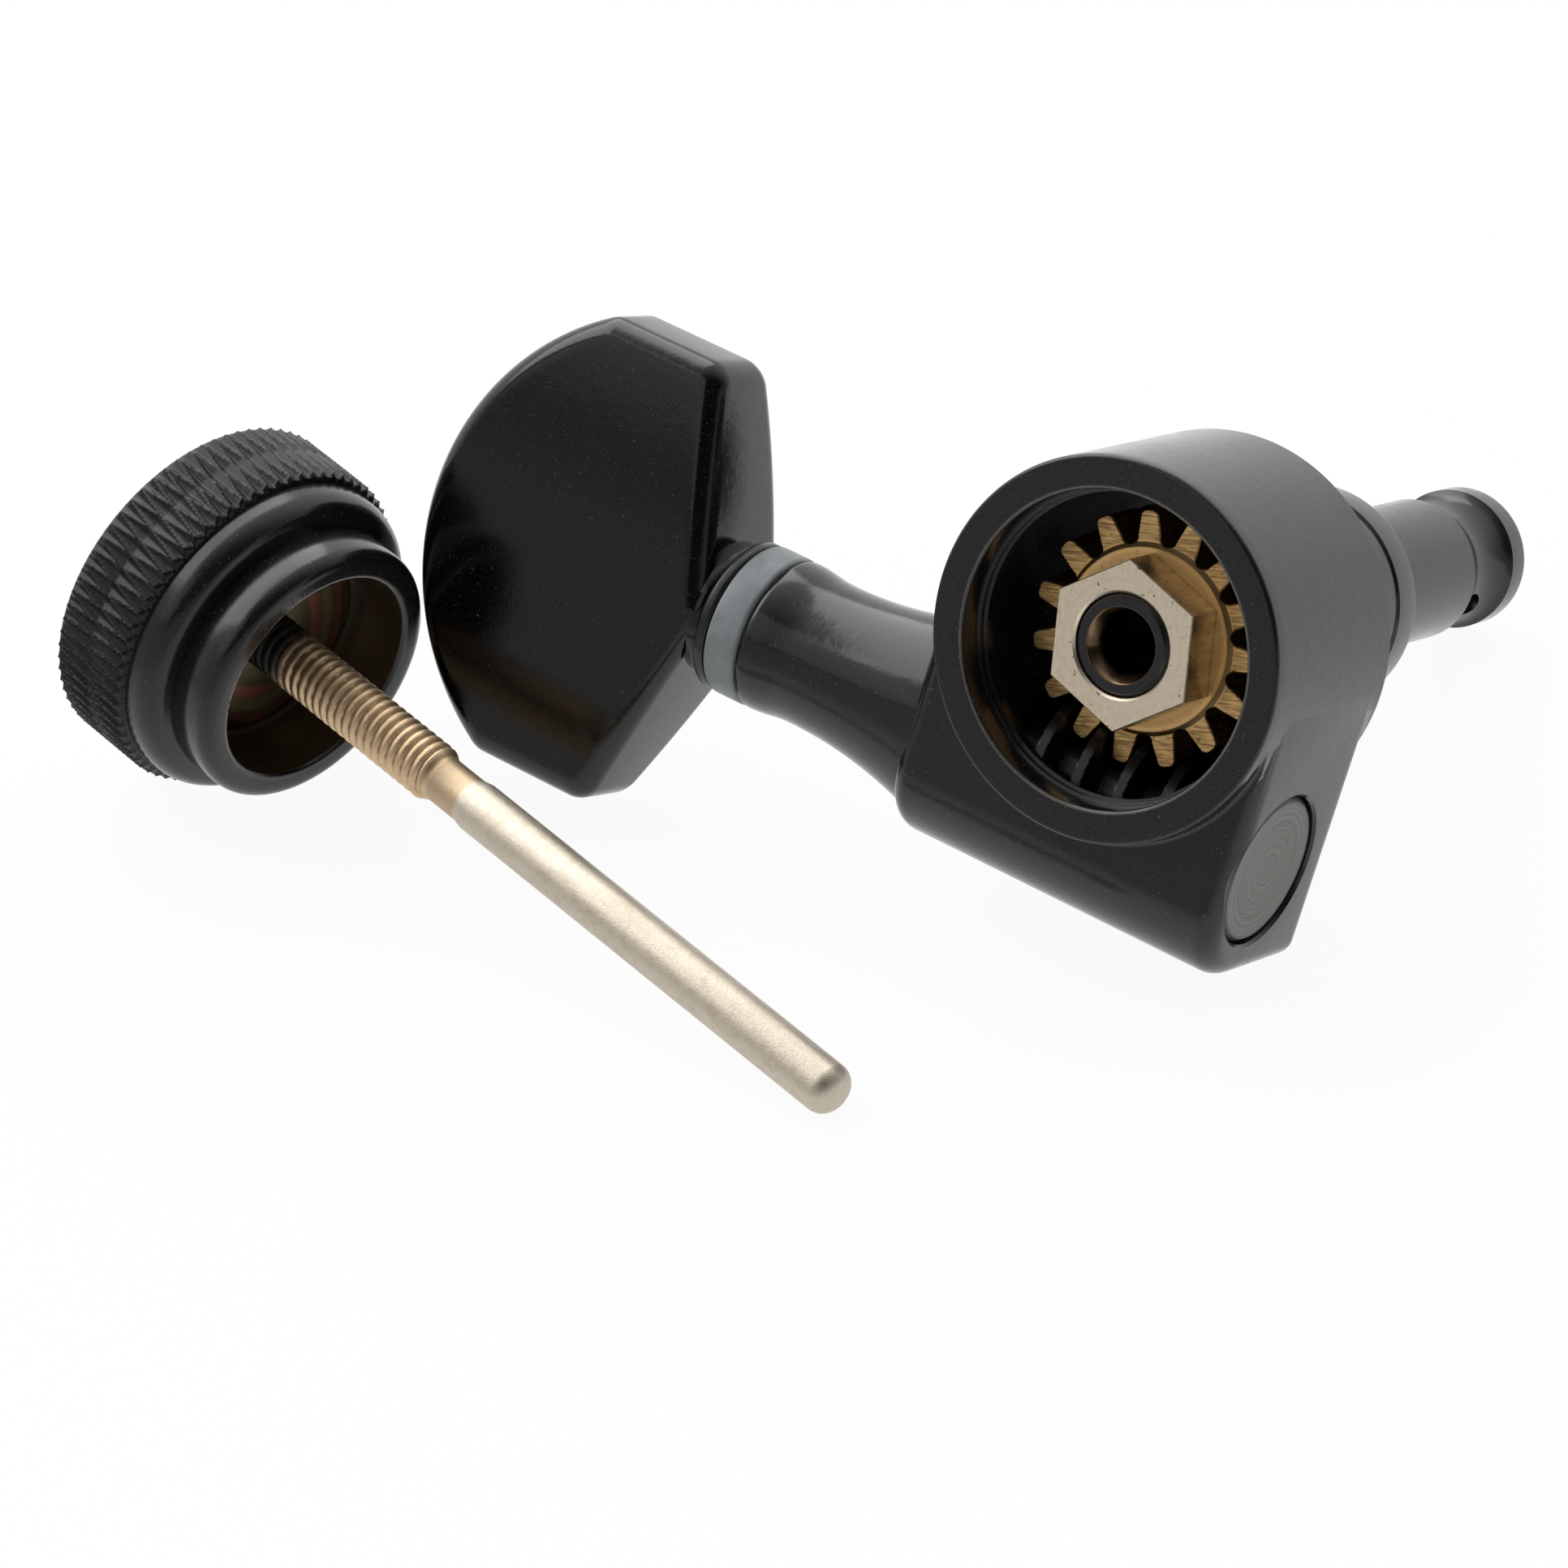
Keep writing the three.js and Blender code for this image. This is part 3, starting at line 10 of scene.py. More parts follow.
import json
import logging
import math
from dataclasses import dataclass, field
from enum import Enum
from typing import Any, Sequence

import bmesh
import bpy
import numpy as np
from mathutils import Matrix, Vector

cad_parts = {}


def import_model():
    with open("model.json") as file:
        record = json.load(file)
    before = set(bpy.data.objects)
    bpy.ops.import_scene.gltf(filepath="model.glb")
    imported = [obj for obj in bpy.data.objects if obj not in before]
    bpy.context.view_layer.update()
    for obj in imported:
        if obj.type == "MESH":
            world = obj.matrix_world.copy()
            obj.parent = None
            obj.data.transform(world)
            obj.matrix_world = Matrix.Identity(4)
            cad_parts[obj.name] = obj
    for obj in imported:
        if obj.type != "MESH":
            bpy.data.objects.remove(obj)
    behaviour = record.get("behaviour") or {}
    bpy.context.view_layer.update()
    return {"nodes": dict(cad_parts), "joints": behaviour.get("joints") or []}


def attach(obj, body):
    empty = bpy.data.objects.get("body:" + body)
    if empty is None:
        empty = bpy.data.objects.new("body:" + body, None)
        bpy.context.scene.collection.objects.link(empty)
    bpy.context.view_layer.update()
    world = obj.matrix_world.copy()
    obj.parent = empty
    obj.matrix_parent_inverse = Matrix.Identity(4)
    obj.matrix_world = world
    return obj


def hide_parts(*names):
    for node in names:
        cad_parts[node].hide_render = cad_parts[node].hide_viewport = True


LOG = logging.getLogger("tuner")
MM = 0.001
TURN = 2 * math.pi
Socket = Any
Colour = tuple[float, float, float]

# The worm shaft's axis lies this far under the post's and behind the mounting face, in millimetres.
WORM_DROP = 6.94
WORM_DEPTH = 5.1
# The key's inner end on that axis, in millimetres, and the key's turn at rest, in degrees.
KEY_START = 18.57
KEY_TURN = 4.0


class Cut(Enum):
    """How a second solid changes a first one."""

    JOIN = "UNION"
    REMOVE = "DIFFERENCE"
    KEEP = "INTERSECT"


class Slot(Enum):
    """Names of the record's material slots."""

    PAINT = "black_paint"
    PLATE = "black_plate"
    STEEL = "dark_steel"
    BRASS = "brass"
    NICKEL = "nickel"
    GREY = "satin_grey"
    NYLON = "nylon"
    YELLOW = "plated_yellow"


@dataclass(frozen=True)
class Placement:
    """Where an assembly's own frame stands: origin in millimetres and axes as the columns of a matrix."""

    origin: np.ndarray
    axes: np.ndarray

    def to_row(self, points: np.ndarray) -> np.ndarray:
        """Turns local millimetres into metres of the shared frame: origin + axes times point.

        Args:
            points: array whose last axis holds x, y and z.

        Returns:
            Array of the same shape in metres.
        """
        return (points @ self.axes.T + self.origin) * MM

    def turned(self, origin: Sequence[float], axes: np.ndarray) -> "Placement":
        """A placement given in this one's frame.

        Args:
            origin: its origin in this frame, in millimetres.
            axes: its axes in this frame, as columns.

        Returns:
            The same placement in the shared frame.
        """
        return Placement(self.origin + self.axes @ np.asarray(origin, float), self.axes @ axes)

    def mapping(self) -> tuple[Vector, Any]:
        """Location and rotation of a Mapping node that turns shared metres into local millimetres.

        Returns:
            Location in millimetres and the Euler rotation, to be used with a scale of 1 / MM.
        """
        inverse = self.axes.T
        return Vector(-inverse @ self.origin), Matrix(inverse.tolist()).to_euler("XYZ")


# The worm shaft's own axes in the tuner's frame, as columns: its Z is the tuner's X.
SHAFT_AXES = np.array([[0.0, 0.0, 1.0], [0.0, 1.0, 0.0], [-1.0, 0.0, 0.0]])


# Surfaces


def arc(x: float, y: float, radius: float, start: float, end: float, steps: int) -> np.ndarray:
    """Points on a circle: centre + radius * (cos a, sin a) for a from start to end in degrees.

    Args:
        x, y: centre.
        radius: radius of the circle.
        start, end: first and last angle in degrees.
        steps: number of chords.

    Returns:
        Array of steps + 1 points.
    """
    angle = np.radians(np.linspace(start, end, steps + 1))
    return np.stack([x + radius * np.cos(angle), y + radius * np.sin(angle)], -1)


def profile(*parts: Any) -> np.ndarray:
    """Joins points and arcs of a profile into one array of [radius, height] rows."""
    return np.concatenate([np.atleast_2d(np.asarray(part, float)) for part in parts])


def rod_profile(radius: float, low: float, high: float) -> np.ndarray:
    """Profile of a plain cylinder between two heights."""
    return profile([0, low], [radius, low], [radius, high], [0, high])


def ring_profile(inner: float, outer: float, low: float, high: float) -> np.ndarray:
    """Profile of a flat ring between two radii and two heights."""
    return profile([inner, low], [outer, low], [outer, high], [inner, high])


def screwed(radius: np.ndarray, along: np.ndarray) -> np.ndarray:
    """Surface of a thread from its radius over height and angle: (r cos a, r sin a, h).

    Args:
        radius: table of radii, a row for each height and a column for each angle.
        along: the rows' heights.

    Returns:
        Grid of heights by angles.
    """
    angle = np.linspace(0, TURN, radius.shape[1], endpoint=False)
    height = np.broadcast_to(along[:, None], radius.shape)
    return np.stack([radius * np.cos(angle), radius * np.sin(angle), height], -1)


def lathe(outline: np.ndarray, segments: int, start: float = 0.0) -> np.ndarray:
    """Surface of revolution about Z: (r cos a, r sin a, h) for each outline point and each angle a.

    Args:
        outline: rows of [radius, height].
        segments: number of points around.
        start: first angle in degrees.

    Returns:
        Grid of outline points by angles.
    """
    angle = math.radians(start) + np.linspace(0, TURN, segments, endpoint=False)
    radius, height = outline[:, :1], outline[:, 1:]
    flat = np.broadcast_to(height, (len(outline), segments))
    return np.stack([radius * np.cos(angle), radius * np.sin(angle), flat], -1)


def loft(rings: Sequence[np.ndarray]) -> np.ndarray:
    """Grid whose rows are the given rings of equal point counts."""
    return np.stack([np.asarray(ring, float) for ring in rings])


def normals_of(outline: np.ndarray) -> np.ndarray:
    """Outward normals of a closed outline that runs anticlockwise: its tangent turned by -90 degrees."""
    tangent = np.roll(outline, -1, axis=0) - np.roll(outline, 1, axis=0)
    tangent /= np.linalg.norm(tangent, axis=1, keepdims=True)
    return np.stack([tangent[:, 1], -tangent[:, 0]], -1)


def quarter(radius: float, steps: int) -> list[tuple[float, float]]:
    """Steps of a rounded edge as (inset, rise) pairs, from the face to the full width."""
    angles = np.linspace(0, math.pi / 2, steps + 1)
    return [(radius * (1 - math.sin(a)), radius * (1 - math.cos(a))) for a in angles]


def raised(outline: np.ndarray, height: Any) -> np.ndarray:
    """Lifts a flat outline to a height: (x, y, height) for each of its points."""
    lift = np.broadcast_to(np.asarray(height, float), outline.shape[:1])
    return np.concatenate([outline, lift[:, None]], axis=1)


def discard(tool: bpy.types.Object) -> None:
    """Removes a helper object and its mesh once it has served as a tool.

    Args:
        tool: the helper.
    """
    mesh = tool.data
    bpy.data.objects.remove(tool)
    bpy.data.meshes.remove(mesh)


def solid(name: str, grid: np.ndarray, place: Placement, loop: bool = False) -> bpy.types.Object:
    """Makes a closed mesh from a grid that wraps around its second axis.

    Args:
        name: name of the object.
        grid: rows by columns by 3, in local millimetres.
        place: where the local frame stands.
        loop: the rows wrap too, as on a ring; otherwise the end rows are closed by a face each.

    Returns:
        The object, linked to the scene, at the origin of the shared frame.
    """
    rows, columns = grid.shape[:2]
    spans = rows if loop else rows - 1
    row = np.arange(spans)[:, None]
    column = np.arange(columns)[None, :]
    ahead, beside = (row + 1) % rows, (column + 1) % columns
    here, there = row * columns, ahead * columns
    corners = [here + column, here + beside, there + beside, there + column]
    quads = np.stack(corners, -1).reshape(-1, 4).tolist()
    if not loop:
        quads.append(list(range(columns))[::-1])
        quads.append(list(range((rows - 1) * columns, rows * columns)))
    mesh = bpy.data.meshes.new(name)
    mesh.from_pydata(place.to_row(grid.reshape(-1, 3)).tolist(), [], quads)
    made = bpy.data.objects.new(name, mesh)
    bpy.context.scene.collection.objects.link(made)
    weld(made)
    return made


def weld(made: bpy.types.Object) -> None:
    """Merges coincident points, drops empty faces and turns every face outward.

    Args:
        made: the mesh object to clean.
    """
    shape = bmesh.new()
    shape.from_mesh(made.data)
    bmesh.ops.remove_doubles(shape, verts=shape.verts, dist=0.0005 * MM)
    bmesh.ops.dissolve_degenerate(shape, dist=0.0002 * MM, edges=shape.edges)
    bmesh.ops.recalc_face_normals(shape, faces=shape.faces)
    shape.to_mesh(made.data)
    shape.free()


def combine(base: bpy.types.Object, tools: Sequence[bpy.types.Object], how: Cut) -> bpy.types.Object:
    """Joins tools to a base or cuts them from it, and keeps only the result.

    Args:
        base: the solid that is changed.
        tools: solids that are used up.
        how: union, difference or intersection.

    Returns:
        The base with its new mesh.
    """
    for tool in tools:
        modifier = base.modifiers.new(how.value, "BOOLEAN")
        modifier.operation = how.value
        modifier.solver = "MANIFOLD"
        modifier.object = tool
        bpy.context.view_layer.update()
        shown = base.evaluated_get(bpy.context.evaluated_depsgraph_get())
        result = bpy.data.meshes.new_from_object(shown)
        base.modifiers.clear()
        old, base.data = base.data, result
        result.name = base.name
        bpy.data.meshes.remove(old)
        discard(tool)
    return base


def smooth(made: bpy.types.Object, angle: float = 32.0) -> None:
    """Shades a mesh smoothly, with sharp edges where faces meet at more than an angle in degrees."""
    made.data.shade_smooth()
    made.data.set_sharp_from_angle(angle=math.radians(angle))


@dataclass
class Dresser:
    """Finishes pieces: material, body and replaced nodes."""

    placed: list[str] = field(default_factory=list)

    def dress(
        self,
        piece: bpy.types.Object,
        material: bpy.types.Material,
        body: str,
        nodes: Sequence[str],
        angle: float = 32.0,
    ) -> None:
        """Gives a piece its look and its place in the frame.

        Args:
            piece: the finished mesh object.
            material: its material.
            body: the CAD body that it moves with.
            nodes: the CAD nodes that it stands for.
            angle: edges sharper than this stay sharp.
        """
        smooth(piece, angle)
        piece.data.materials.clear()
        piece.data.materials.append(material)
        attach(piece, body)
        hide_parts(*nodes)
        self.placed.append(piece.name)
        LOG.info("%s: %d faces on %s", piece.name, len(piece.data.polygons), body)


# Materials


class Nodes:
    """Builds the node tree of one material round a Principled shader."""

    def __init__(self, name: str, place: Placement) -> None:
        """Starts a material whose patterns lie in an assembly's own millimetres.

        Args:
            name: name of the material.
            place: the assembly's placement.
        """
        self.material = bpy.data.materials.new(name)
        self.material.use_nodes = True
        self.tree = self.material.node_tree
        self.tree.nodes.clear()
        self.shader = self.add("ShaderNodeBsdfPrincipled")
        output = self.add("ShaderNodeOutputMaterial")
        self.join(self.shader.outputs["BSDF"], output.inputs["Surface"])
        self.spot = self.local(place)

    def add(self, kind: str, **settings: Any) -> bpy.types.Node:
        """A new node of a kind with some of its properties set."""
        node = self.tree.nodes.new(kind)
        for key, value in settings.items():
            setattr(node, key, value)
        return node

    def join(self, source: Socket, target: Socket) -> None:
        """Links two sockets."""
        self.tree.links.new(source, target)

    def feed(self, target: Socket, value: Any) -> None:
        """Links a socket or writes a plain value into an input."""
        if isinstance(value, bpy.types.NodeSocket):
            self.join(value, target)
        else:
            target.default_value = value

    def local(self, place: Placement) -> Socket:
        """Object coordinates turned into an assembly's own millimetres.

        Args:
            place: the assembly's placement.

        Returns:
            Vector socket in local millimetres.
        """
        location, rotation = place.mapping()
        source = self.add("ShaderNodeTexCoord")
        mapping = self.add("ShaderNodeMapping", vector_type="POINT")
        mapping.inputs["Location"].default_value = location
        mapping.inputs["Rotation"].default_value = rotation
        mapping.inputs["Scale"].default_value = (1 / MM, 1 / MM, 1 / MM)
        self.join(source.outputs["Object"], mapping.inputs["Vector"])
        return mapping.outputs["Vector"]

    def math(self, operation: str, a: Any, b: Any = 0.0) -> Socket:
        """A Math node of one or two inputs."""
        node = self.add("ShaderNodeMath", operation=operation)
        self.feed(node.inputs[0], a)
        self.feed(node.inputs[1], b)
        return node.outputs[0]

    def times(self, a: Any, b: Any) -> Socket:
        """Product of two values."""
        return self.math("MULTIPLY", a, b)

    def plus(self, a: Any, b: Any) -> Socket:
        """Sum of two values."""
        return self.math("ADD", a, b)

    def less(self, a: Any, b: Any) -> Socket:
        """A first value less a second one."""
        return self.math("SUBTRACT", a, b)

    def most(self, a: Any, b: Any) -> Socket:
        """The larger of two values."""
        return self.math("MAXIMUM", a, b)

    def split(self, vector: Socket) -> tuple[Socket, Socket, Socket]:
        """The three parts of a vector."""
        node = self.add("ShaderNodeSeparateXYZ")
        self.join(vector, node.inputs[0])
        return node.outputs[0], node.outputs[1], node.outputs[2]

    def merge(self, x: Any, y: Any, z: Any) -> Socket:
        """A vector from three parts."""
        node = self.add("ShaderNodeCombineXYZ")
        for target, value in zip(node.inputs, (x, y, z)):
            self.feed(target, value)
        return node.outputs[0]

    def radius(self, a: Socket, b: Socket) -> Socket:
        """Distance from an axis: the root of a squared plus b squared."""
        return self.math("SQRT", self.plus(self.times(a, a), self.times(b, b)))

    def ramp(self, value: Any, low: float, high: float, start: float = 0.0, end: float = 1.0) -> Socket:
        """Value taken smoothly from start to end as it goes from low to high."""
        node = self.add("ShaderNodeMapRange", interpolation_type="SMOOTHSTEP", clamp=True)
        inputs = {"Value": value, "From Min": low, "From Max": high, "To Min": start, "To Max": end}
        for key, part in inputs.items():
            self.feed(node.inputs[key], part)
        return node.outputs["Result"]

    def band(self, value: Socket, middle: float, half: float) -> Socket:
        """One in a narrow band round a value, falling to zero at its edges."""
        away = self.math("ABSOLUTE", self.math("SUBTRACT", value, middle))
        return self.ramp(away, half, half * 0.25)

    def noise(self, scale: float, detail: float = 2.0, rough: float = 0.5, vector: Any = None) -> Socket:
        """Noise of so many cells per millimetre."""
        node = self.add("ShaderNodeTexNoise")
        self.join(vector or self.spot, node.inputs["Vector"])
        node.inputs["Scale"].default_value = scale
        node.inputs["Detail"].default_value = detail
        node.inputs["Roughness"].default_value = rough
        return node.outputs["Fac"]

    def mix(self, share: Any, first: Any, second: Any) -> Socket:
        """Colour between a first and a second one."""
        node = self.add("ShaderNodeMix", data_type="RGBA")
        self.feed(node.inputs[0], share)
        for target, value in ((node.inputs[6], first), (node.inputs[7], second)):
            self.feed(target, (*value, 1.0) if isinstance(value, tuple) else value)
        return node.outputs[2]

    def bump(self, height: Socket, depth: float, under: Socket | None = None) -> Socket:
        """Normal of a relief: height from 0 to 1 over a depth in millimetres."""
        node = self.add("ShaderNodeBump")
        node.inputs["Strength"].default_value = 1.0
        node.inputs["Distance"].default_value = depth * MM
        self.join(height, node.inputs["Height"])
        if under is not None:
            self.join(under, node.inputs["Normal"])
        return node.outputs["Normal"]

    def set(self, **values: Any) -> None:
        """Feeds inputs of the shader by name, with underscores for spaces."""
        for key, value in values.items():
            if isinstance(value, tuple) and len(value) == 3:
                value = (*value, 1.0)
            self.feed(self.shader.inputs[key.replace("_", " ")], value)


@dataclass(frozen=True)
class WornRing:
    """A worn edge that runs round an axis: its radius, height, half width and lowest Y in millimetres."""

    radius: float
    height: float
    half: float
    strength: float = 1.0
    lowest: float = -100.0


@dataclass(frozen=True)
class GlossPaint:
    """Black gloss paint with orange peel, dust and worn edges, and in a recess a painted brown reflection."""

    name: str
    colour: Colour = (0.0085, 0.0085, 0.009)
    rough: float = 0.16
    peel: float = 0.012
    grain: float = 0.0016
    dust: float = 0.5
    dust_colour: Colour = (0.26, 0.23, 0.19)
    dust_rough: float = 0.4
    worn: Colour = (0.42, 0.4, 0.38)
    rings: tuple[WornRing, ...] = ()
    # recess: radius inside which the paint takes a painted brown reflection of the plated disc.
    recess: float = 0.0
    painted_disc_reflection: Colour = (0.05, 0.036, 0.018)
    dull_rim: float = 0.0
    gloss: float = 0.5
    rim_gloss: float = 0.24

    def build(self, place: Placement) -> bpy.types.Material:
        """Makes the material.

        Args:
            place: the frame in which its patterns and rings lie.

        Returns:
            The material.
        """
        nodes = Nodes(self.name, place)
        speck = nodes.ramp(nodes.noise(7.0, 3.0, 0.6), 0.69, 0.72)
        fine = nodes.ramp(nodes.noise(14.0, 2.0, 0.6), 0.67, 0.73)
        dust = nodes.times(nodes.most(speck, fine), self.dust)
        colour = nodes.mix(dust, self.colour, self.dust_colour)
        wear = self.wear(nodes)
        if wear is not None:
            colour = nodes.mix(wear, colour, self.worn)
        # Painted reflection: inside the recess radius and above 1.5 mm the paint is tinted brown, standing
        # for the plated disc mirrored in the wall.
        if self.recess:
            x, y, z = nodes.split(nodes.spot)
            inside = nodes.ramp(nodes.radius(x, y), self.recess + 0.05, self.recess + 0.02)
            inside = nodes.times(inside, nodes.ramp(z, 1.0, 1.5))
            colour = nodes.mix(inside, colour, self.painted_disc_reflection)
        cloud = nodes.ramp(nodes.noise(0.45, 4.0, 0.6), 0.3, 0.7, self.rough * 0.85, self.rough * 1.2)
        peel = nodes.bump(nodes.noise(1.6, 3.0, 0.55), self.peel)
        grain = nodes.bump(nodes.noise(14.0, 2.0, 0.7), self.grain, peel)
        rough = nodes.plus(cloud, nodes.times(dust, self.dust_rough))
        nodes.set(Base_Color=colour, Roughness=rough, Normal=grain)
        nodes.shader.inputs["Specular IOR Level"].default_value = self.gloss
        if self.dull_rim:
            away = nodes.radius(*nodes.split(nodes.spot)[:2])
            gloss = nodes.ramp(away, self.dull_rim, self.dull_rim + 0.1, self.gloss, self.rim_gloss)
            nodes.set(Specular_IOR_Level=gloss)
        return nodes.material

    def wear(self, nodes: Nodes) -> Socket | None:
        """Where the paint is worn through: on each ring, broken up by noise.

        Args:
            nodes: the tree that is being built.

        Returns:
            Socket from 0 to 1, or None without rings.
        """
        total = None
        x, y, z = nodes.split(nodes.spot)
        away = nodes.radius(x, y)
        for ring in self.rings:
            broken = nodes.ramp(nodes.noise(1.3, 4.0, 0.7), 0.36, 0.56, 0.25, ring.strength)
            around = nodes.band(away, ring.radius, ring.half)
            spot = nodes.times(around, nodes.band(z, ring.height, ring.half))
            spot = nodes.times(spot, broken)
            spot = nodes.times(spot, nodes.ramp(y, ring.lowest, ring.lowest + 0.5))
            total = spot if total is None else nodes.most(total, spot)
        return total


@dataclass(frozen=True)
class CutMetal:
    """Bare or plated metal with fine tool marks that run round the axis."""

    name: str
    colour: Colour
    shade: Colour
    rough: float
    ring_scale: float
    depth: float = 0.002
    metallic: float = 1.0

    def build(self, place: Placement) -> bpy.types.Material:
        """Makes the material.

        Args:
            place: the frame in which its marks lie.

        Returns:
            The material.
        """
        nodes = Nodes(self.name, place)
        x, y, z = nodes.split(nodes.spot)
        lines = nodes.merge(nodes.times(nodes.radius(x, y), self.ring_scale), nodes.times(z, 0.3), 0.0)
        marks = nodes.noise(1.0, 3.0, 0.7, lines)
        spots = nodes.ramp(nodes.noise(5.0, 4.0, 0.65), 0.6, 0.72)
        tone = nodes.most(nodes.ramp(marks, 0.35, 0.75), nodes.times(spots, 0.6))
        rough = nodes.ramp(marks, 0.3, 0.7, self.rough * 0.8, self.rough * 1.3)
        normal = nodes.bump(marks, self.depth)
        nodes.set(Base_Color=nodes.mix(tone, self.colour, self.shade), Roughness=rough, Normal=normal)
        nodes.shader.inputs["Metallic"].default_value = self.metallic
        return nodes.material


@dataclass(frozen=True)
class WheelBrass:
    """Brass with turned circles on its hub and straight cutter marks, burrs and tarnish on its teeth."""

    name: str
    hub: float
    brass: Colour = (0.9, 0.58, 0.25)
    dull: Colour = (0.42, 0.26, 0.11)
    tarnish: Colour = (0.1, 0.06, 0.03)

    def build(self, place: Placement) -> bpy.types.Material:
        """Makes the material.

        Args:
            place: the tuner's placement.

        Returns:
            The material.
        """
        nodes = Nodes(self.name, place)
        x, y, z = nodes.split(nodes.spot)
        away = nodes.radius(x, y)
        circles = nodes.noise(1.0, 3.0, 0.7, nodes.merge(nodes.times(away, 9.0), 0.0, z))
        across = nodes.plus(nodes.times(x, 2.9), nodes.times(y, 9.6))
        along = nodes.plus(nodes.times(x, -0.67), nodes.times(y, 0.2))
        strokes = nodes.noise(1.0, 3.0, 0.7, nodes.merge(along, across, z))
        outer = nodes.ramp(away, self.hub - 0.08, self.hub + 0.05)
        inner = nodes.less(1.0, outer)
        marks = nodes.plus(nodes.times(strokes, outer), nodes.times(circles, inner))
        shade = nodes.times(nodes.ramp(marks, 0.38, 0.62), nodes.ramp(outer, 0.0, 1.0, 0.45, 1.0))
        colour = nodes.mix(shade, self.brass, self.dull)
        spots = nodes.times(nodes.ramp(nodes.noise(3.2, 4.0, 0.7), 0.6, 0.72), 0.75)
        colour = nodes.mix(spots, colour, self.tarnish)
        rough = nodes.ramp(marks, 0.3, 0.7, 0.3, 0.46)
        nodes.set(Base_Color=colour, Roughness=rough, Normal=nodes.bump(marks, 0.012))
        nodes.shader.inputs["Metallic"].default_value = 1.0
        return nodes.material


@dataclass(frozen=True)
class NutPlate:
    """Warm nickel plate, lightly brushed and turned, with dark specks of grime."""

    name: str
    nickel: Colour = (1.0, 0.86, 0.68)
    dull: Colour = (0.84, 0.7, 0.53)
    grime: Colour = (0.1, 0.075, 0.05)

    def build(self, place: Placement) -> bpy.types.Material:
        """Makes the material.

        Args:
            place: the frame in which its marks lie.

        Returns:
            The material.
        """
        nodes = Nodes(self.name, place)
        x, y, z = nodes.split(nodes.spot)
        away = nodes.radius(x, y)
        straight = nodes.merge(nodes.times(x, 7.0), nodes.times(y, 2.4), z)
        circles = nodes.merge(nodes.times(away, 13.0), 0.0, z)
        turned = nodes.ramp(away, 3.0, 2.6, 0.0, 0.6)
        brush = nodes.times(nodes.noise(1.0, 3.0, 0.6, straight), nodes.less(1.0, turned))
        brush = nodes.plus(brush, nodes.times(nodes.noise(1.0, 3.0, 0.6, circles), turned))
        tone = nodes.mix(nodes.ramp(brush, 0.35, 0.7), self.nickel, self.dull)
        large = nodes.ramp(nodes.noise(4.2, 3.0, 0.62), 0.66, 0.7)
        specks = nodes.most(large, nodes.ramp(nodes.noise(11.0, 3.0, 0.6), 0.69, 0.74))
        colour = nodes.mix(nodes.times(specks, 0.85), tone, self.grime)
        normal = nodes.bump(brush, 0.002, nodes.bump(nodes.noise(1.4, 2.0), 0.006))
        nodes.set(Base_Color=colour, Roughness=nodes.ramp(brush, 0.3, 0.7, 0.3, 0.42), Normal=normal)
        nodes.shader.inputs["Metallic"].default_value = 1.0
        return nodes.material


@dataclass(frozen=True)
class MilkyNylon:
    """Nylon that lets a little light in."""

    name: str
    colour: Colour = (0.25, 0.275, 0.285)

    def build(self, place: Placement) -> bpy.types.Material:
        """Makes the material.

        Args:
            place: the frame in which its mottling lies.

        Returns:
            The material.
        """
        nodes = Nodes(self.name, place)
        tone = nodes.ramp(nodes.noise(1.2, 3.0, 0.6), 0.3, 0.7)
        darker = tuple(part * 0.8 for part in self.colour)
        normal = nodes.bump(nodes.noise(6.0, 3.0), 0.01)
        nodes.set(Base_Color=nodes.mix(tone, self.colour, darker), Normal=normal)
        nodes.shader.inputs["Roughness"].default_value = 0.42
        nodes.shader.inputs["Subsurface Weight"].default_value = 0.25
        nodes.shader.inputs["Subsurface Radius"].default_value = (1.0, 1.0, 1.0)
        nodes.shader.inputs["Subsurface Scale"].default_value = 0.6 * MM
        return nodes.material


@dataclass(frozen=True)
class YellowPlate:
    """Yellow passivated plate: olive, with rings of straw and copper red round the axis."""

    name: str
    olive: Colour = (0.07, 0.055, 0.025)
    straw: Colour = (0.22, 0.18, 0.08)
    copper: Colour = (0.25, 0.09, 0.06)

    def build(self, place: Placement) -> bpy.types.Material:
        """Makes the material.

        Args:
            place: the frame whose Z is the axis of the rings.

        Returns:
            The material.
        """
        nodes = Nodes(self.name, place)
        x, y, _ = nodes.split(nodes.spot)
        away = nodes.plus(nodes.radius(x, y), nodes.times(nodes.noise(0.5, 2.0), 0.9))
        copper = nodes.most(nodes.band(away, 3.1, 0.45), nodes.band(away, 4.3, 0.3))
        straw = nodes.band(away, 3.7, 0.5)
        tint = nodes.mix(straw, nodes.mix(copper, self.olive, self.copper), self.straw)
        nodes.set(Base_Color=tint, Normal=nodes.bump(nodes.noise(3.0, 3.0), 0.006))
        nodes.shader.inputs["Metallic"].default_value = 0.9
        nodes.shader.inputs["Roughness"].default_value = 0.28
        return nodes.material


# Housing and what is fixed in it


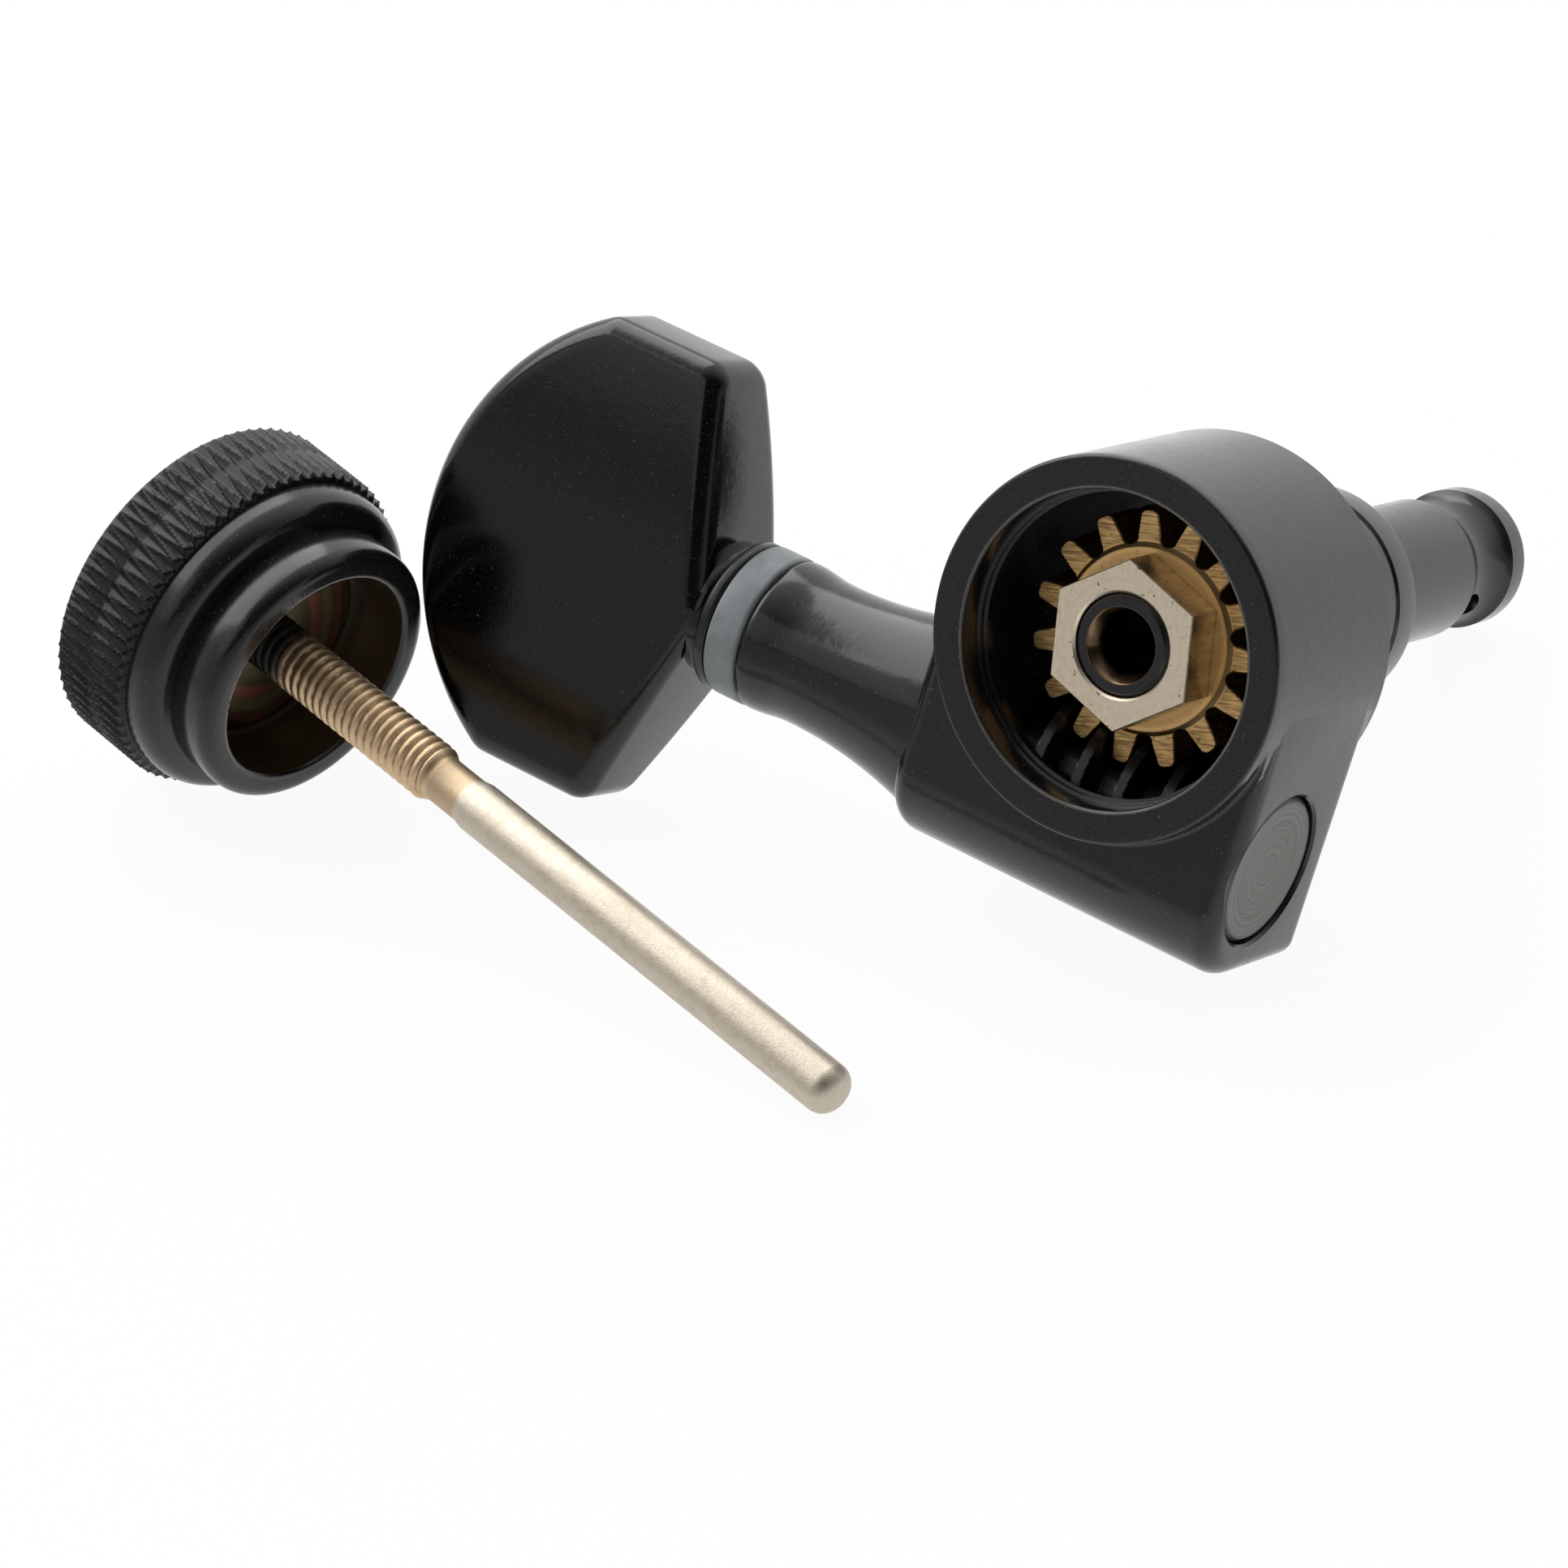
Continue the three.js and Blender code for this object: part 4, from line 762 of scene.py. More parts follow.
@dataclass
class Housing:
    """Cast housing: cup, worm block, trumpet neck, collar and two locating pins."""

    place: Placement
    cup_radius: float = 7.8
    rim: float = 9.7
    mouth: float = 6.4
    rim_round: float = 0.18
    mouth_depth: float = 1.2
    mouth_round: float = 0.14
    cavity: float = 6.15
    ledge: float = 0.13
    ledge_end: float = 8.15
    floor: float = 3.6
    block_depth: float = 8.7
    block_drop: float = 11.7
    key_side: float = 8.0
    back_round: float = 3.35
    front_round: float = 0.9
    edge_round: float = 0.95
    foot_fillet: float = 0.22
    collar_radius: float = 4.65
    collar_length: float = 8.6
    socket_radius: float = 3.9
    socket_floor: float = 3.2
    socket_chamfer: float = 0.3
    collar_root: float = -1.8
    collar_round: float = 0.12
    groove_setback: float = 1.5
    groove_width: float = 0.5
    groove_floor: tuple[float, float] = (0.38, 0.12)
    groove_depth: float = 0.1
    post_bore: float = 2.74
    worm_bore: float = 3.0
    worm_bore_end: float = 5.53
    shaft_bore: float = 1.94
    plug_seat: float = 3.25
    plug_depth: float = 1.8
    neck_end: float = 16.4
    neck_waist: float = 3.12
    neck_waist_place: float = 14.3
    neck_flange: float = 3.3
    neck_root: float = 4.6
    neck_root_share: float = 0.28
    neck_overlap: float = 3.0
    flange_start: float = 0.3
    flange_round: float = 0.25
    pin_radius: float = 0.9
    pin_length: float = 2.0
    pin_round: float = 0.25
    pin_spread: float = 5.8
    pin_drop: float = 9.3
    overrun: float = 1.0

    def cup(self) -> bpy.types.Object:
        """Cup with rounded rim; where the block's back face meets it, a small fillet swells its wall.

        The wall's radius is cup_radius + f(h) * w(a): f falls from the fillet's size to zero in a quarter
        circle above the block's back face, and w is one only where the block stands further out than that.

        Returns:
            The solid cup.
        """
        radius, rim, fillet, soft = self.cup_radius, self.rim, self.foot_fillet, self.rim_round
        back = -self.block_depth
        foot = arc(radius + fillet, back - fillet, fillet, 90, 180, 6)
        outline = profile(
            [0.0, 0.0],
            [radius - 0.05, 0.0],
            [radius, -0.05],
            [radius, back + 0.6],
            [radius + fillet, back + 0.3],
            foot,
            arc(radius - soft, -rim + soft, soft, 0, -90, 6),
            [self.mouth + 0.1, -rim],
            [0.0, -rim],
        )
        grid = lathe(outline, 256)
        angle = np.arctan2(grid[1, :, 1], grid[1, :, 0])
        reach = np.where(angle < 0, radius / np.maximum(np.abs(np.cos(angle)), 1e-3), radius) - radius
        room = np.clip(reach - 0.1, 0, fillet)
        far = np.hypot(grid[..., 0], grid[..., 1])
        kept = np.minimum(far, radius + room[None, :])
        grid[..., :2] *= (kept / np.maximum(far, 1e-6))[..., None]
        return solid("housing_casting", grid, self.place)

    def block_ring(self, along: float, inset: float) -> np.ndarray:
        """Section of the worm block at one place along the shaft, drawn in by an inset.

        Args:
            along: place on X.
            inset: how far the ring lies inside the full section.

        Returns:
            Ring of points, round the shaft.
        """
        bottom, back, front = -self.block_drop + inset, -self.block_depth + inset, -inset
        near, far = self.back_round - inset, max(self.front_round - inset, 0.0)
        section = profile(
            [0.0, back],
            arc(bottom + near, back + near, near, -90, -180, 20),
            arc(bottom + far, front - far, far, 180, 90, 8),
            [0.0, front],
        )
        return np.concatenate([np.full((len(section), 1), along), section], axis=1)

    def block(self) -> bpy.types.Object:
        """Rounded block round the worm: a stack of sections drawn in along quarter circles at both ends."""
        steps = quarter(self.edge_round, 8)
        near = [self.block_ring(-self.cup_radius + rise, inset) for inset, rise in steps]
        far = [self.block_ring(self.key_side - rise, inset) for inset, rise in steps][::-1]
        return solid("block", loft([*near, *far]), self.place)

    def collar(self) -> bpy.types.Object:
        """Collar that stands in the headstock, with a fine groove near its end."""
        radius, length, soft = self.collar_radius, self.collar_length, self.collar_round
        groove, sunk = length - self.groove_setback, radius - self.groove_depth
        outline = profile(
            [0.0, self.collar_root],
            [radius, self.collar_root],
            [radius, groove - self.groove_width],
            [sunk, groove - self.groove_floor[0]],
            [sunk, groove - self.groove_floor[1]],
            [radius, groove],
            arc(radius - soft, length - soft, soft, 0, 90, 4),
            [0.0, length],
        )
        return solid("collar", lathe(outline, 160), self.place)

    def neck(self) -> bpy.types.Object:
        """Trumpet neck: ovals whose height swells from waist to root by a smooth share of their place.

        The swell is (1 - t)^2.1 for t from the block to the waist, and about a quarter of it shows in the
        depth. From the waist the radius grows to the flange by 3 t^2 - 2 t^3.

        Returns:
            The solid neck.
        """
        root = self.key_side - self.edge_round
        share = np.linspace(0, 1, 28)
        swell = (1 - share) ** 2.1
        x = root + (self.neck_waist_place - root) * share
        high = self.neck_waist + (self.neck_root - self.neck_waist) * swell
        wide = self.neck_waist + (self.neck_root - self.neck_waist) * swell * self.neck_root_share
        flange, end, soft = self.neck_flange, self.neck_end, self.flange_round
        rise = np.linspace(0, 1, 7)[1:]
        ease = rise * rise * (3 - 2 * rise)
        tail = self.neck_waist + (flange - self.neck_waist) * ease
        flare = self.neck_waist_place + (end - self.flange_start - self.neck_waist_place) * rise
        rim = arc(end - soft, flange - soft, soft, 90, 0, 4)
        x = np.concatenate([[root - self.neck_overlap], x, flare, rim[:, 0]])
        high = np.concatenate([[self.neck_waist], high, tail, rim[:, 1]])
        wide = np.concatenate([[self.neck_waist], wide, tail, rim[:, 1]])
        angle = np.linspace(0, TURN, 160, endpoint=False)
        y = -WORM_DROP + high[:, None] * np.cos(angle)
        z = -WORM_DEPTH + wide[:, None] * np.sin(angle)
        grid = np.stack([np.broadcast_to(x[:, None], y.shape), y, z], -1)
        return solid("neck", grid, self.place)

    def pins(self) -> list[bpy.types.Object]:
        """The two cast pins that stop the housing from turning."""
        radius, length, soft = self.pin_radius, self.pin_length, self.pin_round
        rounded = arc(radius - soft, length - soft, soft, 0, 90, 4)
        outline = profile([0.0, -self.overrun], [radius, -self.overrun], rounded, [0.0, length])
        made = []
        for side in (-1, 1):
            foot = self.place.turned((side * self.pin_spread, -self.pin_drop, 0.0), np.eye(3))
            made.append(solid("pin", lathe(outline, 40), foot))
        return made

    def cavity_cut(self) -> bpy.types.Object:
        """What is cut from the cup: chamfered mouth, two fine steps and the cavity down to its floor."""
        rim, mouth, soft = -self.rim, self.mouth, self.mouth_round
        wide, step = self.cavity + self.ledge, 0.05
        outline = profile(
            [0.0, rim - self.overrun],
            [mouth + soft, rim - self.overrun],
            [mouth + soft, rim - 0.001],
            arc(mouth + soft, rim + soft, soft, -90, -180, 5)[1:],
            [mouth, rim + self.mouth_depth],
            [wide, rim + self.mouth_depth + step],
            [wide, -self.ledge_end - step],
            [self.cavity, -self.ledge_end],
            [self.cavity, -self.floor],
            [0.0, -self.floor],
        )
        return solid("cavity", lathe(outline, 256), self.place)

    def post_cut(self) -> bpy.types.Object:
        """What is cut for the post: its bore and the socket in the collar."""
        length, socket, bevel = self.collar_length, self.socket_radius, self.socket_chamfer
        outline = profile(
            [0.0, -self.floor - self.overrun],
            [self.post_bore, -self.floor - self.overrun],
            [self.post_bore, self.socket_floor],
            [socket, self.socket_floor],
            [socket, length - bevel],
            [socket + bevel, length],
            [socket + bevel, length + self.overrun],
            [0.0, length + self.overrun],
        )
        return solid("post_bore", lathe(outline, 96), self.place)

    def worm_cut(self) -> bpy.types.Object:
        """What is cut for the worm: the plug's seat, the worm's bore and the shaft's bore."""
        outer = -self.cup_radius
        outline = profile(
            [0.0, outer - self.overrun],
            [self.plug_seat + 0.1, outer - self.overrun],
            [self.plug_seat + 0.1, outer],
            [self.plug_seat, outer + 0.12],
            [self.plug_seat, outer + self.plug_depth],
            [self.worm_bore, outer + self.plug_depth],
            [self.worm_bore, self.worm_bore_end],
            [self.shaft_bore, self.worm_bore_end],
            [self.shaft_bore, self.neck_end + self.overrun],
            [0.0, self.neck_end + self.overrun],
        )
        shaft = self.place.turned((0.0, -WORM_DROP, -WORM_DEPTH), SHAFT_AXES)
        return solid("worm_bore", lathe(outline, 128), shaft)

    def build(self, dresser: Dresser) -> None:
        """Builds the casting from its parts and cuts its bores.

        Args:
            dresser: finishes the piece.
        """
        body = combine(self.cup(), [self.block(), self.neck(), self.collar(), *self.pins()], Cut.JOIN)
        body = combine(body, [self.cavity_cut(), self.post_cut(), self.worm_cut()], Cut.REMOVE)
        paint = GlossPaint(
            "housing_paint",
            rings=(
                WornRing(self.mouth + 0.1, -self.rim, 0.08, 0.18),
                WornRing(self.cup_radius, 0.0, 0.08, 0.5, -0.4),
                WornRing(self.collar_radius, self.collar_length, 0.1, 0.8),
            ),
        )
        dresser.dress(body, paint.build(self.place), "housing", ["housing"])


@dataclass
class EndPlug:
    """Turned plug that closes the worm's bore."""

    place: Placement
    radius: float = 3.2
    outer: float = -7.68
    inner: float = -6.0
    chamfer: float = 0.22
    dish: float = 0.05

    def build(self, dresser: Dresser) -> None:
        """Builds the plug: a disc with a chamfer and a faint dish, r -> dish * (1 - (r / R)^2).

        Args:
            dresser: finishes the piece.
        """
        face = np.linspace(0, self.radius - self.chamfer, 12)
        dish = self.dish * (1 - (face / face[-1]) ** 2)
        outline = profile(
            np.stack([face, self.outer + dish], -1),
            [self.radius, self.outer + self.chamfer],
            [self.radius, self.inner],
            [0.0, self.inner],
        )
        plug = solid("bearing_plug", lathe(outline, 128), self.place)
        bright, dull = (0.15, 0.147, 0.138), (0.11, 0.107, 0.1)
        metal = CutMetal("plug_metal", bright, dull, 0.44, ring_scale=16.0, depth=0.0015)
        dresser.dress(plug, metal.build(self.place), "housing", ["end_plug"])


# Worm, wheel, nut and post


@dataclass
class Drive:
    """Worm wheel with its nut and washers, and the worm shaft."""

    place: Placement
    shaft: Placement
    teeth: int = 15
    tip: float = 5.2
    root: float = 3.82
    back: float = -6.1
    front: float = -4.1
    middle: float = -5.1
    root_round: float = 0.365
    tip_round: float = 0.29
    tip_half: float = 0.405
    wheel_turn: float = 2.1
    wheel_soft: float = 0.05
    lean: float = 0.02849
    hub: float = 3.72
    hub_foot: float = 3.98
    hub_face: float = -6.24
    bore: float = 2.5
    nut_corner: float = 3.52
    nut_face: float = -8.18
    nut_seat: float = -6.26
    nut_turn: float = 17.5
    nut_soft: float = 0.05
    nut_hole: float = 2.12
    nut_chamfer: float = 0.1
    pitch: float = 1.927
    worm_tip: float = 2.9
    worm_root: float = 1.6
    crest: float = 0.46
    base: float = 0.98
    crest_place: float = 0.1686
    thread_half: float = 4.7
    worm_half: float = 5.5
    journal: float = 1.9
    stem: float = 1.5
    stem_end: float = 30.3
    wheel_washer: tuple[float, float, float, float] = (2.76, 3.85, -4.03, -3.63)
    worm_washer: tuple[float, float, float, float] = (0.95, 2.9, -5.93, -5.53)
    nylon: Colour = (0.6, 0.58, 0.52)
    overrun: float = 1.0

    def tooth_outline(self) -> np.ndarray:
        """Outline of all teeth, anticlockwise: U-shaped gaps, straight tapered flanks and rounded tips.

        Half a gap is a quarter circle of root_round that starts on the root circle in the gap's middle, and
        half a tip is a quarter circle of tip_round that ends on the tip circle.

        Returns:
            Closed outline of [x, y] rows.
        """
        step = TURN / self.teeth
        foot = arc(self.root + self.root_round, 0.0, self.root_round, 180, 90, 6)
        half_cos, half_sin = math.cos(step / 2), math.sin(step / 2)
        middle = np.array([[half_cos, half_sin], [half_sin, -half_cos]])
        tip = arc(self.tip - self.tip_round, self.tip_half - self.tip_round, self.tip_round, 90, 0, 6)
        upper = np.concatenate([foot @ middle, tip])
        tooth = np.concatenate([upper[1:] * [1, -1], upper[::-1]])
        turns = np.arange(self.teeth) * step
        cos, sin = np.cos(turns)[:, None], np.sin(turns)[:, None]
        x = tooth[:, 0] * cos - tooth[:, 1] * sin
        y = tooth[:, 0] * sin + tooth[:, 1] * cos
        return np.stack([x.ravel(), y.ravel()], -1)

    def toothed(self, name: str, levels: Sequence[tuple[float, float]]) -> bpy.types.Object:
        """The tooth outline carried over some levels: turned by the wheel's place plus lean times height.

        Args:
            name: name of the solid.
            levels: pairs of height and inset.

        Returns:
            The toothed solid.
        """
        outline = self.tooth_outline()
        normal = normals_of(outline)
        rings = []
        for height, inset in levels:
            turn = math.radians(self.wheel_turn) + (height - self.middle) * self.lean
            flat = outline - normal * inset
            cos, sin = math.cos(turn), math.sin(turn)
            spun = np.stack([flat[:, 0] * cos - flat[:, 1] * sin, flat[:, 0] * sin + flat[:, 1] * cos], -1)
            rings.append(raised(spun, height))
        return solid(name, loft(rings), self.place)

    def wheel(self, dresser: Dresser) -> None:
        """Wheel: toothed disc with broken edges and a cone hub that the gaps cut into.

        Args:
            dresser: finishes the piece.
        """
        soft = self.wheel_soft
        levels = ((self.back, soft), (self.back + soft, 0.0), (self.front - soft, 0.0), (self.front, soft))
        wheel = self.toothed("brass_wheel", levels)
        cone = profile(
            [0.0, self.hub_face],
            [self.hub, self.hub_face],
            [self.hub_foot, self.back + soft],
            [self.hub_foot, self.middle],
            [0.0, self.middle],
        )
        low, high = self.hub_face - self.overrun, self.front + self.overrun
        teeth = self.toothed("hub_teeth", ((low, 0.0), (self.middle, 0.0)))
        hub = combine(solid("hub", lathe(cone, 128), self.place), [teeth], Cut.KEEP)
        wheel = combine(wheel, [hub], Cut.JOIN)
        bore = rod_profile(self.bore, low, high)
        wheel = combine(wheel, [solid("bore", lathe(bore, 64), self.place)], Cut.REMOVE)
        brass = WheelBrass("cut_brass", self.hub_foot)
        dresser.dress(wheel, brass.build(self.place), "post", ["worm_wheel"])

    def nut(self, dresser: Dresser) -> None:
        """Plain hexagon nut with its edges just broken.

        Args:
            dresser: finishes the piece.
        """
        corner, soft = self.nut_corner, self.nut_soft
        prism = profile(
            [0.0, self.nut_face],
            [corner - soft, self.nut_face],
            [corner, self.nut_face + soft],
            [corner, self.nut_seat],
            [0.0, self.nut_seat],
        )
        nut = solid("hexagon_nut", lathe(prism, 6, self.nut_turn), self.place)
        low, high = self.nut_face - self.overrun, self.nut_seat + self.overrun
        hole, bevel = self.nut_hole, self.nut_chamfer
        drill = profile(
            [0, low],
            [hole + bevel, low],
            [hole + bevel, self.nut_face],
            [hole, self.nut_face + bevel],
            [hole, high],
            [0, high],
        )
        nut = combine(nut, [solid("hole", lathe(drill, 96), self.place)], Cut.REMOVE)
        dresser.dress(nut, NutPlate("nut_nickel").build(self.place), "post", ["wheel_nut"], 20.0)

    def worm(self, dresser: Dresser) -> None:
        """Worm shaft: radius over place and angle, r = root + (tip - root) * flank(u).

        u is the distance in pitches from the nearest crest of a right-handed helix, and flank is one on the
        crest, zero on the root and straight between them.

        Args:
            dresser: finishes the piece.
        """
        segments = 120
        angle = np.linspace(0, TURN, segments, endpoint=False)
        along = np.linspace(-self.thread_half, self.thread_half, 180)
        phase = (along[:, None] - self.crest_place) / self.pitch - angle[None, :] / TURN
        away = np.abs(phase - np.round(phase)) * self.pitch
        flank = np.clip((self.base / 2 - away) / (self.base / 2 - self.crest / 2), 0, 1)
        radius = self.worm_root + (self.worm_tip - self.worm_root) * flank
        plain = profile(
            [self.worm_tip, self.thread_half],
            [self.worm_tip, self.worm_half],
            [self.journal, self.worm_half],
            [self.journal, KEY_START],
            [self.stem, KEY_START],
            [self.stem, self.stem_end],
        )
        start = profile([self.worm_tip, -self.worm_half], [self.worm_tip, -self.thread_half])
        grid = np.concatenate([lathe(start, segments), screwed(radius, along), lathe(plain, segments)])
        worm = solid("worm_and_shaft", grid, self.shaft)
        steel, shade = (0.03, 0.03, 0.031), (0.016, 0.016, 0.016)
        metal = CutMetal("worm_steel", steel, shade, 0.3, ring_scale=6.0, metallic=0.6)
        dresser.dress(worm, metal.build(self.shaft), "key", ["worm_shaft"])

    def washers(self, dresser: Dresser) -> None:
        """The washer under the wheel and the one behind the worm.

        Args:
            dresser: finishes the pieces.
        """
        nylon = MilkyNylon("washer_nylon", self.nylon).build(self.place)
        for name, sizes, place, node in (
            ("wheel_washer", self.wheel_washer, self.place, "post_thrust_washer"),
            ("worm_washer", self.worm_washer, self.shaft, "worm_thrust_washer"),
        ):
            washer = solid(name, lathe(ring_profile(*sizes), 96), place, True)
            dresser.dress(washer, nylon, "housing", [node])

    def build(self, dresser: Dresser) -> None:
        """Builds every piece of the drive.

        Args:
            dresser: finishes the pieces.
        """
        self.wheel(dresser)
        self.nut(dresser)
        self.worm(dresser)
        self.washers(dresser)


@dataclass
class StringPost:
    """Hollow string post with its groove, cross hole and threaded end."""

    place: Placement
    radius: float = 3.0
    tip: float = 22.5
    disc: float = 1.3
    groove_length: float = 3.7
    groove_depth: float = 0.62
    journal: float = 2.7
    shoulder: float = 3.23
    tip_round: float = 0.25
    seat: float = 2.5
    seat_start: float = -6.4
    seat_end: float = -4.1
    stud: float = 2.08
    stud_end: float = -6.5
    stud_face: float = -8.18
    stud_chamfer: float = 0.16
    bore: float = 1.16
    bore_depth: float = 3.0
    bore_mouth: float = 1.5
    hole: float = 1.0
    hole_half: float = 4.0
    hole_turn: float = 35.0

    def build(self, dresser: Dresser) -> None:
        """Turned post: the groove's depth follows sin(pi t)^0.6, and a cross hole goes through its waist.

        Args:
            dresser: finishes the piece.
        """
        groove_end = self.tip - self.disc
        share = np.linspace(0, 1, 25)
        depth = self.groove_depth * np.sin(math.pi * share) ** 0.6
        waist = np.stack([self.radius - depth, groove_end - self.groove_length * (1 - share)], -1)
        face, bevel, soft = self.stud_face, self.stud_chamfer, self.tip_round
        outline = profile(
            [0.0, face + self.bore_depth],
            [self.bore, face + self.bore_depth],
            [self.bore, face + 0.55],
            [self.bore_mouth, face + 0.05],
            [self.bore_mouth + 0.06, face],
            [self.stud - bevel, face],
            [self.stud, face + bevel],
            [self.stud, self.stud_end],
            [self.seat, self.seat_start],
            [self.seat, self.seat_end],
            [self.journal, self.seat_end],
            [self.journal, self.shoulder],
            [self.radius, self.shoulder],
            waist,
            arc(self.radius - soft, self.tip - soft, soft, 0, 90, 6),
            [0.0, self.tip],
        )
        post = solid("string_post_turned", lathe(outline, 160), self.place)
        cos, sin = math.cos(math.radians(self.hole_turn)), math.sin(math.radians(self.hole_turn))
        spin = np.array([[cos, -sin, 0], [sin, cos, 0], [0, 0, 1]])
        cross = self.place.turned((0, 0, groove_end - self.groove_length / 2), spin @ SHAFT_AXES)
        drill = rod_profile(self.hole, -self.hole_half, self.hole_half)
        post = combine(post, [solid("drill", lathe(drill, 64), cross)], Cut.REMOVE)
        paint = PostPlate("post_plate", self.bore_mouth + 0.1, self.stud_face)
        dresser.dress(post, paint.build(self.place), "post", ["string_post"])


@dataclass(frozen=True)
class PostPlate:
    """Glossy black of the post, with bare bronze inside the bore of its threaded end, darkened deeper in by
    painted shade.
    """

    name: str
    bore: float
    face: float
    black: Colour = (0.012, 0.012, 0.0125)
    bronze: Colour = (0.24, 0.165, 0.1)
    bronze_shade: Colour = (0.16, 0.1, 0.055)
    # deep: painted shade that the bronze turns to further into the bore.
    deep: Colour = (0.03, 0.021, 0.013)
    painted_shade_depth: float = 0.6

    def build(self, place: Placement) -> bpy.types.Material:
        """Makes the material.

        Args:
            place: the tuner's placement.

        Returns:
            The material.
        """
        nodes = Nodes(self.name, place)
        x, y, z = nodes.split(nodes.spot)
        inside = nodes.ramp(nodes.radius(x, y), self.bore, self.bore - 0.05)
        inside = nodes.times(inside, nodes.ramp(z, 0.0, -0.5))
        rings = nodes.noise(1.0, 3.0, 0.7, nodes.merge(0.0, 0.0, nodes.times(z, 7.0)))
        metal = nodes.mix(nodes.ramp(rings, 0.35, 0.65), self.bronze, self.bronze_shade)
        # Painted shade: the bronze darkens to deep from half this depth to the full depth into the bore.
        dark = nodes.ramp(z, self.face + self.painted_shade_depth * 0.5, self.face + self.painted_shade_depth)
        metal = nodes.mix(dark, metal, self.deep)
        nodes.set(
            Base_Color=nodes.mix(inside, self.black, metal),
            Metallic=inside,
            Roughness=nodes.ramp(nodes.noise(1.0, 3.0), 0.3, 0.7, 0.16, 0.24),
            Normal=nodes.bump(nodes.noise(1.6, 3.0), 0.006),
        )
        return nodes.material


# Key


@dataclass
class Key:
    """Half-moon key with its boss, washers and screw. Its frame has X along the shaft and Z its thickness."""

    place: Placement
    shaft: Placement
    front: float = 3.0
    front_crown: float = 0.5
    back: float = 3.4
    back_crown: float = 1.9
    half_width: float = 9.82
    arc_radius: float = 11.45
    length: float = 14.32
    slope: float = 16.8
    corner: float = 1.2
    edge: float = 0.9
    longest_side: float = 0.35
    boss: float = 2.88
    boss_round: float = 0.35
    boss_length: float = 1.1
    boss_taper: float = 1.6
    taper_share: float = 0.45
    washer_bore: float = 1.94
    head_seat: float = 31.02
    head: float = 2.15
    head_height: float = 1.2
    head_round: float = 0.4
    screw_radius: float = 0.95
    screw_end: float = 26.76
    cross: tuple[float, float] = (2.4, 0.5)
    cross_depth: float = 0.7
    cross_taper: float = 0.6

    def outline(self) -> tuple[np.ndarray, np.ndarray]:
        """Key outline as arcs: points that lie one corner radius inside the edge, and their normals.

        Returns:
            Array of [x, y] rows and array of outward normals.
        """
        arc_centre = self.length - self.arc_radius
        arc_radius = self.arc_radius - self.corner
        side = self.half_width - self.corner
        end = math.degrees(math.asin(side / arc_radius))
        corner_x = arc_centre + arc_radius * math.cos(math.radians(end))
        tip = self.corner / math.cos(math.radians(self.slope))
        side_x = tip + side * math.tan(math.radians(self.slope))
        arcs = [
            (arc_centre, 0.0, arc_radius, -end, end, 64),
            (corner_x, side, 0.0, end, 90, 8),
            (side_x, side, 0.0, 90, 180 - self.slope, 14),
            (tip, 0.0, 0.0, 180 - self.slope, 180 + self.slope, 6),
            (side_x, -side, 0.0, 180 + self.slope, 270, 14),
            (corner_x, -side, 0.0, 270, 360 - end, 8),
        ]
        points, normals = [], []
        for x, y, radius, first, last, steps in arcs:
            unit = arc(0.0, 0.0, 1.0, first, last, steps)
            points.append(unit * radius + [x, y])
            normals.append(unit)
        return np.concatenate(points), np.concatenate(normals)

    def dense(self, points: np.ndarray, normals: np.ndarray) -> tuple[np.ndarray, np.ndarray]:
        """Splits the long straight sides of the outline into short stretches.

        Args:
            points, normals: the outline's arrays.

        Returns:
            Both arrays with more rows on the straight stretches.
        """
        rim = points + normals * self.corner
        gap = np.linalg.norm(np.roll(rim, -1, axis=0) - rim, axis=1)
        parts = np.maximum(np.ceil(gap / self.longest_side).astype(int), 1)
        start = np.repeat(np.arange(len(points)), parts)
        first = np.repeat(np.cumsum(parts) - parts, parts)
        share = ((np.arange(len(start)) - first) / parts[start])[:, None]
        after = (start + 1) % len(points)
        fine_points = points[start] * (1 - share) + points[after] * share
        return fine_points, normals[start] * (1 - share) + normals[after] * share

    def slab(self) -> bpy.types.Object:
        """The key's slab: rings over its rounded edge and its crowned faces.

        A face's height is its middle height - crown * (y / half width)^2, and a ring over the rounded edge
        lies one rise below it. The back is crowned more than the front.

        Returns:
            The solid slab.
        """
        points, normals = self.dense(*self.outline())
        steps = quarter(self.edge, 10)[::-1]
        rings = [(points + normals * (self.corner - inset), rise) for inset, rise in steps]
        inner = points + normals * (self.corner - self.edge)
        middle = np.array([self.length / 2, 0.0])
        shares = (0.96, 0.9, 0.8, 0.7, 0.6, 0.5, 0.4, 0.3, 0.2, 0.1)
        rings += [(middle + (inner - middle) * share, 0.0) for share in shares]
        upper, lower = [], []
        for flat, rise in rings:
            upper.append(raised(flat, self.crowned(flat[:, 1], self.back, self.back_crown) - rise))
            lower.append(raised(flat, rise - self.crowned(flat[:, 1], self.front, self.front_crown)))
        return solid("half_moon_key", loft([*lower[::-1], *upper]), self.place)

    def crowned(self, y: np.ndarray, height: float, crown: float) -> np.ndarray:
        """Height of a crowned face: its middle height - crown * (y / half width)^2."""
        return height - crown * (y / self.half_width) ** 2

    def boss_solid(self) -> bpy.types.Object:
        """Boss round the shaft: rounded end, then a soft taper that sinks into the slab."""
        radius, start, foot = self.boss, KEY_START, KEY_START + self.boss_length
        round_end = [[radius - inset, start + rise] for inset, rise in quarter(self.boss_round, 8)]
        share = np.linspace(0, 1, 12)
        thinned = radius * (1 - self.taper_share * share * share)
        taper = np.stack([thinned, foot + self.boss_taper * share], -1)
        outline = profile([0.0, start], round_end, taper, [0.0, foot + self.boss_taper])
        return solid("boss", lathe(outline, 128), self.shaft)

